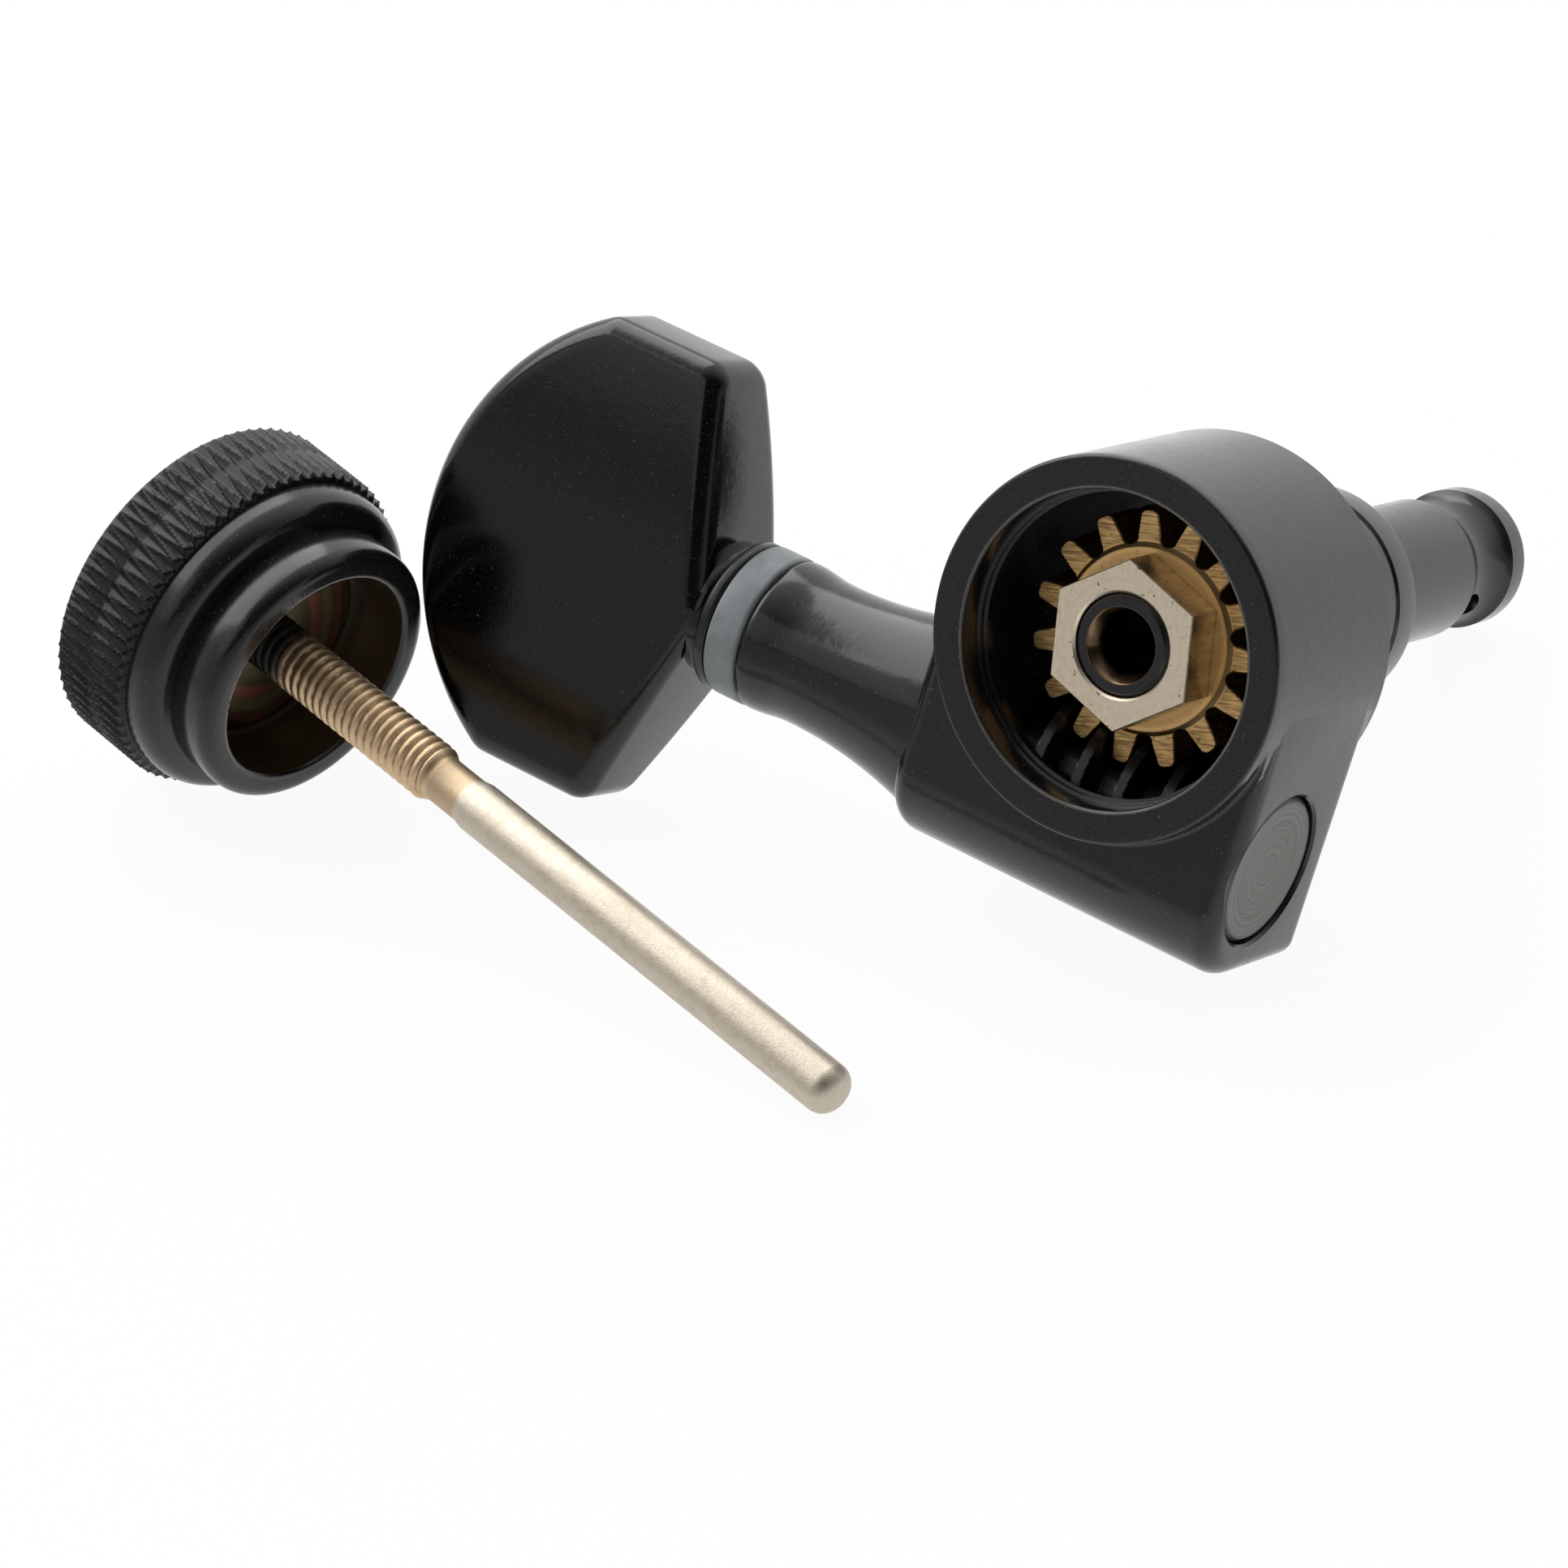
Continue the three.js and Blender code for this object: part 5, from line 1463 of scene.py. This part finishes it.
    def build(self, dresser: Dresser) -> None:
        """Builds the key, its washers and its screw.

        Args:
            dresser: finishes the pieces.
        """
        key = combine(self.slab(), [self.boss_solid()], Cut.JOIN)
        seat = rod_profile(self.head + 0.04, self.head_seat, KEY_START + self.length + 1)
        key = combine(key, [solid("seat", lathe(seat, 96), self.shaft)], Cut.REMOVE)
        paint = GlossPaint("key_paint", (0.0026, 0.0026, 0.0028), 0.1, peel=0.006, grain=0.003, dust=0.4)
        dresser.dress(key, paint.build(self.place), "key", ["key_button"], 40.0)
        self.washers(dresser)
        self.screw(dresser)

    def washers(self, dresser: Dresser) -> None:
        """The grey nylon washer and the thin black one, both with rounded rims.

        Args:
            dresser: finishes the pieces.
        """
        nylon, paint = MilkyNylon("grey_nylon"), GlossPaint("washer_paint", rough=0.3, dust=0.2)
        for name, radius, low, high, soft, node, slot, finish in (
            ("grey_washer", 3.31, 16.43, 17.98, 0.2, "nylon_washer", Slot.NYLON, nylon),
            ("black_washer", 3.28, 18.01, 18.51, 0.14, "key_washer", Slot.PLATE, paint),
        ):
            outline = profile(
                [self.washer_bore, low],
                arc(radius - soft, low + soft, soft, -90, 0, 5),
                arc(radius - soft, high - soft, soft, 0, 90, 5),
                [self.washer_bore, high],
            )
            washer = solid(name, lathe(outline, 128), self.shaft, True)
            dresser.dress(washer, finish.build(self.shaft), "key", [node])

    def screw(self, dresser: Dresser) -> None:
        """Screw in the key's outer end, with a cross recess of two tapered bars.

        Args:
            dresser: finishes the piece.
        """
        seat, soft = self.head_seat + 0.03, self.head_round
        top = seat + self.head_height
        outline = profile(
            [0.0, self.screw_end],
            [self.screw_radius, self.screw_end],
            [self.screw_radius, seat],
            [self.head, seat],
            arc(self.head - soft, top - soft, soft, 0, 90, 5),
            [0.0, top + 0.1],
        )
        screw = solid("key_screw_turned", lathe(outline, 96), self.shaft)
        bars = []
        for wide, deep in (self.cross, self.cross[::-1]):
            ring = np.array([[-1, -1], [1, -1], [1, 1], [-1, 1]]) * [wide / 2, deep / 2]
            floor = raised(ring * self.cross_taper, top - self.cross_depth)
            bars.append(solid("bar", loft([floor, raised(ring, top + 0.5)]), self.shaft))
        screw = combine(screw, bars, Cut.REMOVE)
        paint = GlossPaint("screw_black", rough=0.25, dust=0.2)
        dresser.dress(screw, paint.build(self.shaft), "key", ["key_screw"])


# Locking screw


@dataclass
class LockingScrew:
    """Knurled wheel, its plated disc and the locking pin. Heights count from the wheel's outer face."""

    place: Placement
    radius: float = 7.6
    knurl_end: float = 4.08
    knurl_depth: float = 0.2
    knurl_leans: tuple[float, float] = (6.5, -13.0)
    knurl_shares: tuple[float, float] = (0.85, 1.0)
    knurl_sharpness: float = 1.5
    ridges: int = 72
    shoulder: float = 7.15
    shoulder_foot: float = 6.35
    shoulder_end: float = 5.65
    collar: float = 6.05
    collar_end: float = 7.97
    collar_round: float = 0.65
    recess: float = 4.76
    recess_floor: float = 4.9
    recess_round: float = 0.25
    pocket_floor: float = 3.77
    pocket_end: float = 6.0
    disc: float = 4.4
    disc_hole: float = 1.23
    disc_low: float = 3.8
    disc_edge: float = 4.85
    disc_soft: float = 0.05
    stub: float = 1.2
    stub_start: float = 1.6
    thread_root: float = 1.03
    thread_tip: float = 1.27
    thread_pitch: float = 0.47
    thread_end: float = 15.9
    relief: float = 1.01
    relief_end: float = 18.1
    relief_slope: float = 0.45
    rod: float = 1.105
    rod_middle: float = 28.0
    rod_end: float = 38.9
    tip_length: float = 0.85

    def knurled_wheel(self) -> bpy.types.Object:
        """Wheel: a lathe grid whose rim is pressed into diamonds by two families of crossing grooves.

        A family has a crest wherever n (a + s h) / 2 pi is a whole number, for angle a, height h and slope s,
        and falls as (1 - u)^p to its hollow, u = 1. The higher of the two families shows.

        Returns:
            The solid wheel with its recess.
        """
        segments = self.ridges * 12
        rim = np.linspace(0.2, self.knurl_end - 0.2, 60)
        low = profile([0.0, 0.35], [3.4, 0.26], [5.6, 0.0], [7.2, 0.0], [7.4, 0.06])
        share = np.linspace(0, 1, 12)
        fall = self.shoulder - self.shoulder_foot
        bell = np.stack(
            [
                self.shoulder - fall * (1 - np.sqrt(np.maximum(1 - share**2, 0))),
                self.knurl_end + (self.shoulder_end - self.knurl_end) * (0.35 + 0.65 * share),
            ],
            -1,
        )
        steps = quarter(self.collar_round, 8)[::-1]
        end = [[self.collar - inset, self.collar_end - rise] for inset, rise in steps]
        high = profile(
            [7.4, self.knurl_end - 0.06],
            [self.shoulder, self.knurl_end],
            bell,
            [self.collar + 0.12, self.shoulder_end + 0.02],
            [self.collar - 0.1, self.shoulder_end + 0.1],
            [self.collar, self.shoulder_end + 0.24],
            end,
            [0.0, self.collar_end],
        )
        middle = lathe(np.stack([np.full_like(rim, self.radius), rim], -1), segments)
        angle = np.linspace(0, TURN, segments, endpoint=False)[None, :]
        crest = np.zeros(1)
        for lean, share in zip(self.knurl_leans, self.knurl_shares):
            slide = rim[:, None] * math.tan(math.radians(lean)) / self.radius
            phase = self.ridges * (angle + slide) / TURN
            away = np.abs(phase - np.round(phase)) * 2
            crest = np.maximum(crest, share * (1 - away) ** self.knurl_sharpness)
        sunk = self.knurl_depth * (1 - crest)
        middle[..., :2] *= (1 - sunk / self.radius)[..., None]
        grid = np.concatenate([lathe(low, segments), middle, lathe(high, segments)])
        wheel = solid("knurled_wheel", grid, self.place)
        soft = self.recess_round
        cut = profile(
            [0.0, self.recess_floor],
            [self.recess, self.recess_floor],
            [self.recess, self.collar_end - soft],
            arc(self.recess + soft, self.collar_end - soft, soft, 180, 90, 4),
            [self.recess + soft, self.collar_end + 1],
            [0.0, self.collar_end + 1],
        )
        pocket = rod_profile(self.disc + 0.03, self.pocket_floor, self.pocket_end)
        cutters = (("recess", cut), ("pocket", pocket))
        tools = [solid(name, lathe(outline, 128), self.place) for name, outline in cutters]
        return combine(wheel, tools, Cut.REMOVE)

    def pin(self) -> bpy.types.Object:
        """Locking pin: a threaded stretch, a relief, a plain rod and a domed tip.

        The thread's radius is root + (tip - root) * v(u) with u the distance from the crest of a
        right-handed helix in pitches and v = (1 - (2 u)^2.2)^0.5, a round crest that fades in the last turn.

        Returns:
            The solid pin.
        """
        segments = 72
        angle = np.linspace(0, TURN, segments, endpoint=False)
        along = np.arange(self.recess_floor - 0.1, self.thread_end, self.thread_pitch / 12)
        phase = along[:, None] / self.thread_pitch - angle[None, :] / TURN
        away = np.abs(phase - np.round(phase)) * 2
        wave = np.sqrt(np.maximum(1 - away**2.2, 0))
        fade = np.clip((self.thread_end - along) / self.thread_pitch, 0, 1)[:, None]
        radius = self.thread_root + (self.thread_tip - self.thread_root) * wave * fade
        stub, low = self.stub, self.stub_start
        start = profile([0.0, low], [stub, low], [stub, self.recess_floor - 0.15])
        share = np.linspace(0, 1, 6)[:, None]
        slope_start = np.array([self.relief, self.relief_end - self.relief_slope])
        slope = slope_start * (1 - share) + np.array([self.rod, self.relief_end]) * share
        dome = np.radians(np.linspace(0, 90, 14))
        tip = np.stack([self.rod * np.cos(dome) ** 0.8, self.rod_end + self.tip_length * np.sin(dome)], -1)
        rest = profile([self.relief, self.thread_end + 0.05], slope, [self.rod, self.rod_middle], tip)
        rest[-1, 0] = 0.0
        grid = np.concatenate([lathe(start, segments), screwed(radius, along), lathe(rest, segments)])
        return solid("threaded_pin", grid, self.place)

    def build(self, dresser: Dresser) -> None:
        """Builds the wheel, the disc and the pin.

        Args:
            dresser: finishes the pieces.
        """
        paint = GlossPaint(
            "wheel_paint",
            rough=0.2,
            peel=0.006,
            grain=0.0012,
            dust=0.5,
            rings=(WornRing(self.recess + 0.2, self.collar_end, 0.08, 0.2),),
            # The recess wall gets a painted brown reflection of the plated disc.
            recess=self.recess,
            dull_rim=self.shoulder,
        )
        dresser.dress(
            self.knurled_wheel(), paint.build(self.place), "locking_screw", ["thumb_wheel"], 60.0
        )
        plate = profile(
            [self.disc_hole, self.disc_low],
            [self.disc, self.disc_low],
            [self.disc, self.disc_edge],
            [self.disc - self.disc_soft, self.recess_floor],
            [self.disc_hole, self.recess_floor],
        )
        dresser.dress(
            solid("plated_disc", lathe(plate, 96), self.place, True),
            YellowPlate("yellow_plate").build(self.place),
            "locking_screw",
            ["backing_disc"],
        )
        rod_start = self.relief_end - self.relief_slope
        metal = PinMetal("pin_metal", self.recess_floor, self.thread_end, rod_start).build(self.place)
        dresser.dress(self.pin(), metal, "locking_screw", ["locking_pin"], 50.0)


@dataclass(frozen=True)
class PinMetal:
    """The pin's metal: bronze on the thread, black paint on its first turns, warm nickel on the rod, and
    painted shade in the thread's roots.
    """

    name: str
    floor: float
    thread_end: float
    rod_start: float
    nickel: Colour = (0.65, 0.58, 0.48)
    bronze: Colour = (0.74, 0.55, 0.35)
    black: Colour = (0.02, 0.018, 0.016)

    def build(self, place: Placement) -> bpy.types.Material:
        """Makes the material.

        Args:
            place: the screw's placement.

        Returns:
            The material.
        """
        nodes = Nodes(self.name, place)
        x, y, z = nodes.split(nodes.spot)
        away = nodes.radius(x, y)
        ragged = nodes.plus(z, nodes.times(nodes.noise(1.2, 3.0), 2.0))
        rod = nodes.ramp(z, self.rod_start - 0.03, self.rod_start + 0.03)
        bare = nodes.mix(rod, self.bronze, self.nickel)
        grime = nodes.ramp(nodes.noise(2.5, 4.0, 0.7), 0.45, 0.7)
        bare = nodes.mix(nodes.times(grime, 0.3), bare, (0.4, 0.3, 0.2))
        smooth_stretch = nodes.times(nodes.ramp(z, self.thread_end, self.thread_end + 0.2), 0.55)
        smooth_stretch = nodes.times(smooth_stretch, nodes.less(1.0, rod))
        bare = nodes.mix(smooth_stretch, bare, (0.45, 0.36, 0.25))
        # Painted shade: the thread's roots are darkened towards a deep brown along the threaded stretch.
        root = nodes.ramp(away, 1.17, 1.06)
        root = nodes.times(root, nodes.ramp(z, self.thread_end, self.thread_end - 0.3))
        bare = nodes.mix(nodes.times(root, 0.75), bare, (0.16, 0.1, 0.055))
        painted = nodes.ramp(ragged, self.floor + 3.4, self.floor + 2.4)
        streaks = nodes.merge(nodes.times(x, 3.0), nodes.times(y, 3.0), nodes.times(z, 0.3))
        marks = nodes.noise(1.0, 3.0, 0.6, streaks)
        rings = nodes.noise(1.0, 2.0, 0.6, nodes.merge(0.0, 0.0, nodes.times(z, 14.0)))
        turned = nodes.times(nodes.less(rings, marks), nodes.less(1.0, rod))
        marks = nodes.plus(marks, turned)
        nodes.set(
            Base_Color=nodes.mix(painted, bare, self.black),
            Metallic=nodes.less(1.0, nodes.times(painted, 0.9)),
            Roughness=nodes.ramp(marks, 0.3, 0.7, 0.44, 0.54),
            Normal=nodes.bump(marks, 0.005, nodes.bump(nodes.noise(10.0, 3.0, 0.7), 0.014)),
        )
        return nodes.material


# Studio


@dataclass
class Studio:
    """White table and backdrop, softboxes and the camera at the photo's viewing angle."""

    place: tuple[float, float, float] = (6.742, -232.066, 163.514)
    target: tuple[float, float, float] = (-0.716, -6.417, 8.0)
    roll: float = -3.356
    lens: float = 156.5
    sensor: float = 36.0
    table_half: float = 3.0
    table_tone: float = 0.86
    table_glow: float = 0.94
    near_level: float = 0.42
    far_level: float = 1.15
    dark: float = 0.04
    bright: float = 1.2
    low_wall: float = 0.42
    wall_top: float = 0.3
    fill: float = 1.0

    def camera(self) -> None:
        """Camera from its place and target, rolled about its own axis."""
        data = bpy.data.cameras.new("photo_camera")
        data.sensor_width, data.lens = self.sensor, self.lens
        data.clip_start, data.clip_end = 0.01, 10.0
        made = bpy.data.objects.new("photo_camera", data)
        bpy.context.scene.collection.objects.link(made)
        where, aim = Vector(self.place) * MM, Vector(self.target) * MM
        made.rotation_mode = "QUATERNION"
        made.location = where
        look = (aim - where).to_track_quat("-Z", "Y")
        made.rotation_quaternion = look @ Matrix.Rotation(math.radians(self.roll), 3, "Z").to_quaternion()
        bpy.context.scene.camera = made

    def table(self) -> None:
        """White table that keeps the object's soft shadow."""
        size = self.table_half
        mesh = bpy.data.meshes.new("table")
        rim = [(-size, -size, 0), (size, -size, 0), (size, size, 0), (-size, size, 0)]
        mesh.from_pydata(rim, [], [(0, 1, 2, 3)])
        table = bpy.data.objects.new("table", mesh)
        bpy.context.scene.collection.objects.link(table)
        table.data.materials.append(self.table_white())

    def table_white(self) -> bpy.types.Material:
        """White that glows to the camera and in reflections: a share of an even white over a matt white.

        In reflections its near left side is dimmer, as the table is there: the level goes from near_level to
        far_level as x + y goes over the object.

        Returns:
            The material.
        """
        material = bpy.data.materials.new("table_white")
        material.use_nodes = True
        tree = material.node_tree
        shader = tree.nodes["Principled BSDF"]
        shader.inputs["Base Color"].default_value = (self.table_tone, self.table_tone, self.table_tone, 1)
        shader.inputs["Roughness"].default_value = 0.7
        shader.inputs["Specular IOR Level"].default_value = 0.2
        path = tree.nodes.new("ShaderNodeLightPath")
        seen = tree.nodes.new("ShaderNodeMath")
        seen.operation = "MAXIMUM"
        tree.links.new(path.outputs["Is Glossy Ray"], seen.inputs[0])
        tree.links.new(path.outputs["Is Transmission Ray"], seen.inputs[1])
        share = tree.nodes.new("ShaderNodeMath")
        share.operation = "MAXIMUM"
        tree.links.new(path.outputs["Is Camera Ray"], share.inputs[0])
        tree.links.new(seen.outputs[0], share.inputs[1])
        scaled = tree.nodes.new("ShaderNodeMath")
        scaled.operation = "MULTIPLY"
        scaled.inputs[1].default_value = self.table_glow
        tree.links.new(share.outputs[0], scaled.inputs[0])
        where = tree.nodes.new("ShaderNodeTexCoord")
        parts = tree.nodes.new("ShaderNodeSeparateXYZ")
        tree.links.new(where.outputs["Object"], parts.inputs[0])
        across = tree.nodes.new("ShaderNodeMath")
        across.operation = "ADD"
        tree.links.new(parts.outputs["X"], across.inputs[0])
        tree.links.new(parts.outputs["Y"], across.inputs[1])
        level = tree.nodes.new("ShaderNodeMapRange")
        level.interpolation_type = "SMOOTHSTEP"
        self.spread(level, -0.12, 0.05, self.near_level, self.far_level)
        tree.links.new(across.outputs[0], level.inputs["Value"])
        white = tree.nodes.new("ShaderNodeMix")
        white.data_type = "FLOAT"
        tree.links.new(path.outputs["Is Camera Ray"], white.inputs[0])
        tree.links.new(level.outputs["Result"], white.inputs[2])
        white.inputs[3].default_value = 1.0
        glow = tree.nodes.new("ShaderNodeEmission")
        tree.links.new(white.outputs[0], glow.inputs["Strength"])
        both = tree.nodes.new("ShaderNodeMixShader")
        tree.links.new(scaled.outputs[0], both.inputs[0])
        tree.links.new(shader.outputs["BSDF"], both.inputs[1])
        tree.links.new(glow.outputs["Emission"], both.inputs[2])
        tree.links.new(both.outputs["Shader"], tree.nodes["Material Output"].inputs["Surface"])
        return material

    @staticmethod
    def spread(node: bpy.types.Node, low: float, high: float, start: float, end: float) -> None:
        """Sets what a Map Range node takes in, low to high, and gives out, start to end."""
        for key, value in {"From Min": low, "From Max": high, "To Min": start, "To Max": end}.items():
            node.inputs[key].default_value = value

    def softbox(self, name: str, place: Sequence[float], size: tuple[float, float], power: float) -> None:
        """A rectangular lamp aimed at the object.

        Args:
            name: name of the lamp.
            place: its place in metres.
            size: width and height in metres.
            power: in watts.
        """
        lamp = bpy.data.lights.new(name, "AREA")
        lamp.shape = "RECTANGLE"
        lamp.size, lamp.size_y = size
        lamp.energy = power
        made = bpy.data.objects.new(name, lamp)
        made.location = place
        made.rotation_mode = "QUATERNION"
        made.rotation_quaternion = (Vector((0, 0, 0.008)) - Vector(place)).to_track_quat("-Z", "Y")
        bpy.context.scene.collection.objects.link(made)

    def world(self) -> None:
        """White world to the camera; to the object it is bright behind and dark on the camera's side.

        The level that the object sees goes smoothly from dark to bright with the direction's y, with a dim
        low wall all round. Reflections get all of it, and matt surfaces the share named fill.
        """
        world = bpy.data.worlds.new("studio")
        bpy.context.scene.world = world
        world.use_nodes = True
        tree = world.node_tree
        back = tree.nodes["Background"]
        back.inputs["Color"].default_value = (1, 1, 1, 1)
        where = tree.nodes.new("ShaderNodeTexCoord")
        parts = tree.nodes.new("ShaderNodeSeparateXYZ")
        tree.links.new(where.outputs["Generated"], parts.inputs[0])
        level = tree.nodes.new("ShaderNodeMapRange")
        level.interpolation_type = "SMOOTHSTEP"
        self.spread(level, -0.6, 0.6, self.dark, self.bright)
        tree.links.new(parts.outputs["Y"], level.inputs["Value"])
        wall = tree.nodes.new("ShaderNodeMapRange")
        self.spread(wall, self.wall_top, self.wall_top + 0.02, self.low_wall, 0.0)
        tree.links.new(parts.outputs["Z"], wall.inputs["Value"])
        around = tree.nodes.new("ShaderNodeMath")
        around.operation = "MAXIMUM"
        tree.links.new(level.outputs["Result"], around.inputs[0])
        tree.links.new(wall.outputs["Result"], around.inputs[1])
        path = tree.nodes.new("ShaderNodeLightPath")
        seen = tree.nodes.new("ShaderNodeMath")
        seen.operation = "MAXIMUM"
        tree.links.new(path.outputs["Is Glossy Ray"], seen.inputs[0])
        tree.links.new(path.outputs["Is Transmission Ray"], seen.inputs[1])
        share = tree.nodes.new("ShaderNodeMapRange")
        self.spread(share, 0.0, 1.0, self.fill, 1.0)
        tree.links.new(seen.outputs[0], share.inputs["Value"])
        product = tree.nodes.new("ShaderNodeMath")
        product.operation = "MULTIPLY"
        tree.links.new(around.outputs[0], product.inputs[0])
        tree.links.new(share.outputs["Result"], product.inputs[1])
        white = tree.nodes.new("ShaderNodeMix")
        white.data_type = "FLOAT"
        tree.links.new(path.outputs["Is Camera Ray"], white.inputs[0])
        tree.links.new(product.outputs[0], white.inputs[2])
        white.inputs[3].default_value = 1.0
        tree.links.new(white.outputs[0], back.inputs["Strength"])

    def build(self) -> None:
        """Sets up the whole studio."""
        bpy.context.scene.view_settings.view_transform = "Standard"
        self.world()
        self.table()
        self.softbox("main_softbox", (-0.344, 0.41, 0.595), (1.3, 0.6), 6.0)
        self.softbox("left_softbox", (-0.55, -0.31, 0.51), (0.5, 0.5), 0.45)
        self.camera()


def tuner_place(joints: Sequence[dict]) -> Placement:
    """The tuner's frame from the frame's own joints: +Z is the post's axis and +X the key's.

    Args:
        joints: the record's joints.

    Returns:
        The placement in millimetres.
    """
    named = {joint["name"]: joint for joint in joints}
    z = np.array(named["post_turn"]["axis"], float)
    x = np.array(named["key_turn"]["axis"], float)
    z /= np.linalg.norm(z)
    x -= z * (x @ z)
    x /= np.linalg.norm(x)
    return Placement(np.array(named["post_turn"]["pos_m"], float) / MM, np.stack([x, np.cross(z, x), z], 1))


def screw_place(wheel: bpy.types.Object, pin: bpy.types.Object) -> Placement:
    """The locking screw's frame from its CAD nodes: both are round about the line through their middles.

    Args:
        wheel: CAD node of the thumb wheel.
        pin: CAD node of the locking pin.

    Returns:
        The placement in millimetres, its origin on the wheel's outer face.
    """

    def corners(node: bpy.types.Object) -> np.ndarray:
        """Distinct vertices of a node in millimetres."""
        flat = np.zeros(len(node.data.vertices) * 3, np.float32)
        node.data.vertices.foreach_get("co", flat)
        return np.unique(np.round(flat.reshape(-1, 3).astype(float) / MM, 3), axis=0)

    wheel_points, pin_points = corners(wheel), corners(pin)
    start = wheel_points.mean(0)
    z = pin_points.mean(0) - start
    z /= np.linalg.norm(z)
    face = ((wheel_points - start) @ z).min()
    x = np.cross((0.0, 0.0, 1.0), z)
    x /= np.linalg.norm(x)
    return Placement(start + z * face, np.stack([x, np.cross(z, x), z], 1))


def main() -> None:
    """Builds the studio and every piece in order."""
    logging.basicConfig(level=logging.INFO, format="%(message)s")
    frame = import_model()
    tuner = tuner_place(frame["joints"])
    screw = screw_place(frame["nodes"]["thumb_wheel"], frame["nodes"]["locking_pin"])
    shaft = tuner.turned((0.0, -WORM_DROP, -WORM_DEPTH), SHAFT_AXES)
    cos, sin = math.cos(math.radians(KEY_TURN)), math.sin(math.radians(KEY_TURN))
    tilt = np.array([[1, 0, 0], [0, cos, -sin], [0, sin, cos]])
    key = tuner.turned((KEY_START, -WORM_DROP, -WORM_DEPTH), tilt)
    Studio().build()
    dresser = Dresser()
    Housing(tuner).build(dresser)
    EndPlug(shaft).build(dresser)
    Drive(tuner, shaft).build(dresser)
    StringPost(tuner).build(dresser)
    Key(key, shaft).build(dresser)
    LockingScrew(screw).build(dresser)
    LOG.info("%d pieces", len(dresser.placed))


if __name__ == "__main__":
    main()
